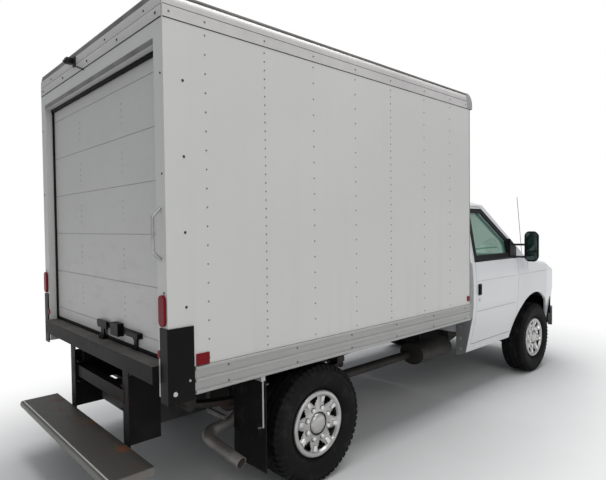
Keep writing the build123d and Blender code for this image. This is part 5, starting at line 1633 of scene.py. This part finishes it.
@dataclass
class Seats:
    """Both seats: cushion, backrest and headrest, with the rods of the headrest."""

    half_gap: float = 0.470
    width: float = 0.478
    recline: float = -14.2
    bolsters: tuple[float, float] = (-0.135, 0.135)
    # the headrest's rods and the cushion's pan
    rods: tuple[Bar, ...] = (
        ((0.6990, 0.415, 1.570), (0.6830, 0.415, 1.640), 0.006, 0.006, 10, 0),
        ((0.6990, 0.525, 1.570), (0.6830, 0.525, 1.640), 0.006, 0.006, 10, 0))
    pan: Block = ((0.800, 0.270, 0.8805), (1.360, 0.670, 0.905), 0.006, 0)

    def moved(self, x: float, z: float, turn: float) -> Matrix:
        """A place in the middle plane at a lean in degrees."""
        return Matrix.Translation((x, 0.0, z)) @ Matrix.Rotation(math.radians(turn), 4, "Y")

    def build(self) -> None:
        """Builds one seat and repeats it on the other side."""
        parts = {
            "seat_cushion": Cushion((0.590, self.width, 0.100), self.moved(1.080, 0.945, -1.8), 0.034,
                                    seams_y=self.bolsters),
            "seat_back": Cushion((0.088, self.width, 0.610), self.moved(0.757, 1.290, self.recline), 0.034,
                                 seams_y=self.bolsters, seams_z=(-0.12, 0.14)),
            "headrest": Cushion((0.070, 0.240, 0.165), self.moved(0.6806, 1.686, -12.0), 0.028, limit=0.012),
        }
        replaced = ("seats",)
        for name, cushion in parts.items():
            first = cushion.build(f"{name}_right")
            second = first.copy()
            second.data = first.data.copy()
            second.name = f"{name}_left"
            bpy.context.scene.collection.objects.link(second)
            for piece, side in ((first, Side.RIGHT), (second, Side.LEFT)):
                piece.data.transform(Matrix.Translation((0.0, side.value * self.half_gap, 0.0)))
                fit(piece, "van", replaced)
                replaced = ()
        add_piece("seat_rods", ("steel_black",), "van", (self.pan,), self.rods, BOTH_SIDES)


# Studio


@dataclass
class Studio:
    """Floor, lights and the camera at the photograph's place."""

    eye: Point = (-3.7195, -3.277, 1.677)
    yaw: float = 47.13
    pitch: float = -1.54
    roll: float = -0.63
    focal_px: float = 493.5
    width_px: float = 606.0
    sensor: float = 36.0
    sky: Colour = (0.93, 0.96, 1.0)
    sky_strength: float = 0.45
    # grey of the matt floor near the van: a painted shadow round the van, on top of the shadow that the lamps
    # cast
    floor_tones: tuple[Colour, Colour] = ((0.60, 0.60, 0.60), (0.64, 0.64, 0.64))
    # how far out the floor begins and ends to fade, and how that oval is squashed along X; its size follows the
    # painted shadow round the van
    fade: tuple[float, float] = (1.55, 3.1)
    squash: float = 0.58
    # place, aim, side, watts and colour
    key: tuple[Point, Point, float, float, Colour] = (
        (-3.0, -7.5, 5.5), (-0.5, -0.5, 1.2), 5.0, 130.0, (1.0, 0.98, 0.95))
    top: tuple[Point, Point, float, float, Colour] = (
        (0.0, 0.0, 8.0), (0.0, 0.0, 0.0), 7.0, 720.0, (1.0, 1.0, 1.0))

    def camera(self) -> None:
        """Makes the camera."""
        yaw, pitch = math.radians(self.yaw), math.radians(self.pitch)
        ahead = Vector((math.cos(pitch) * math.cos(yaw), math.cos(pitch) * math.sin(yaw), math.sin(pitch)))
        data = bpy.data.cameras.new("photo_camera")
        data.sensor_width = self.sensor
        data.lens = self.sensor * self.focal_px / self.width_px
        data.clip_start, data.clip_end = 0.05, 200.0
        camera = bpy.data.objects.new("photo_camera", data)
        look = ahead.to_track_quat("-Z", "Y").to_matrix().to_4x4()
        roll = Matrix.Rotation(math.radians(self.roll), 4, "Z")
        camera.matrix_world = Matrix.Translation(self.eye) @ look @ roll
        bpy.context.scene.collection.objects.link(camera)
        bpy.context.scene.camera = camera

    def area(self, name: str, spot: Point, aim: Point, size: float, power: float, colour: Colour) -> None:
        """Adds one soft lamp.

        Args:
            name: its name.
            spot: where it hangs.
            aim: what it looks at.
            size: its side.
            power: its watts.
            colour: its colour.
        """
        data = bpy.data.lights.new(name, "AREA")
        data.shape, data.size, data.energy, data.color = "SQUARE", size, power, colour
        lamp = bpy.data.objects.new(name, data)
        run = Vector(aim) - Vector(spot)
        lamp.matrix_world = Matrix.Translation(spot) @ run.to_track_quat("-Z", "Y").to_matrix().to_4x4()
        bpy.context.scene.collection.objects.link(lamp)

    def world(self) -> None:
        """Makes a plain grey world that shows white behind the van."""
        world = bpy.data.worlds.new("studio")
        bpy.context.scene.world = world
        graph = Graph(world, "ShaderNodeOutputWorld")
        soft = graph.node("ShaderNodeBackground", None,
                          {"Color": (*self.sky, 1.0), "Strength": self.sky_strength})
        white = graph.node("ShaderNodeBackground", None, {"Color": (1.0, 1.0, 1.0, 1.0), "Strength": 1.0})
        graph.show(graph.mixed(soft, white, graph.seen_by("Is Camera Ray", "Is Transmission Ray")))

    def floor(self) -> None:
        """Makes the pale floor, which fades into the white behind it; its darker grey near the van is a painted
        shadow, on top of the shadow that the lamps cast.
        """
        graph = Graph(bpy.data.materials.new("studio_floor"))
        place = graph.place()
        x, y, _ = graph.parts(place)
        reach = ((x * self.squash) ** 2 + y ** 2) ** 0.5
        seen = graph.seen_by("Is Camera Ray", "Is Glossy Ray")
        tone = graph.blend(*self.floor_tones, graph.noise(place, 2.0, 2))
        matt = graph.node("ShaderNodeBsdfDiffuse", None, {"Color": tone})
        white = graph.node("ShaderNodeEmission", None, {"Color": (1.0, 1.0, 1.0, 1.0), "Strength": 1.0})
        # grey matt floor near the van as a painted shadow, and white further out
        graph.show(graph.mixed(matt, white, reach.ramp(*self.fade) * seen))
        shape = Shape()
        bmesh.ops.create_grid(shape.bm, x_segments=1, y_segments=1, size=60.0)
        mesh = bpy.data.meshes.new("studio_floor")
        shape.bm.to_mesh(mesh)
        shape.bm.free()
        mesh.materials.append(graph.owner)
        ground = bpy.data.objects.new("studio_floor", mesh)
        bpy.context.scene.collection.objects.link(ground)

    def build(self) -> None:
        """Builds the studio."""
        self.camera()
        self.world()
        self.floor()
        self.area("key", *self.key)
        self.area("top", *self.top)
        bpy.context.scene.view_settings.view_transform = "Standard"


def main() -> None:
    """Builds the sub-assemblies in order."""
    logging.basicConfig(level=logging.INFO, format="%(name)s: %(message)s")
    PALETTE.dress_nodes()
    Studio().build()
    RunningGear().build()
    BoxFasteners().build()
    RoofEdge().build()
    DoorCurtain().build()
    RearHardware().build()
    CabDress().build()
    Seats().build()
    for side in Side:
        DoorDress(side).build()


if __name__ == "__main__":
    main()
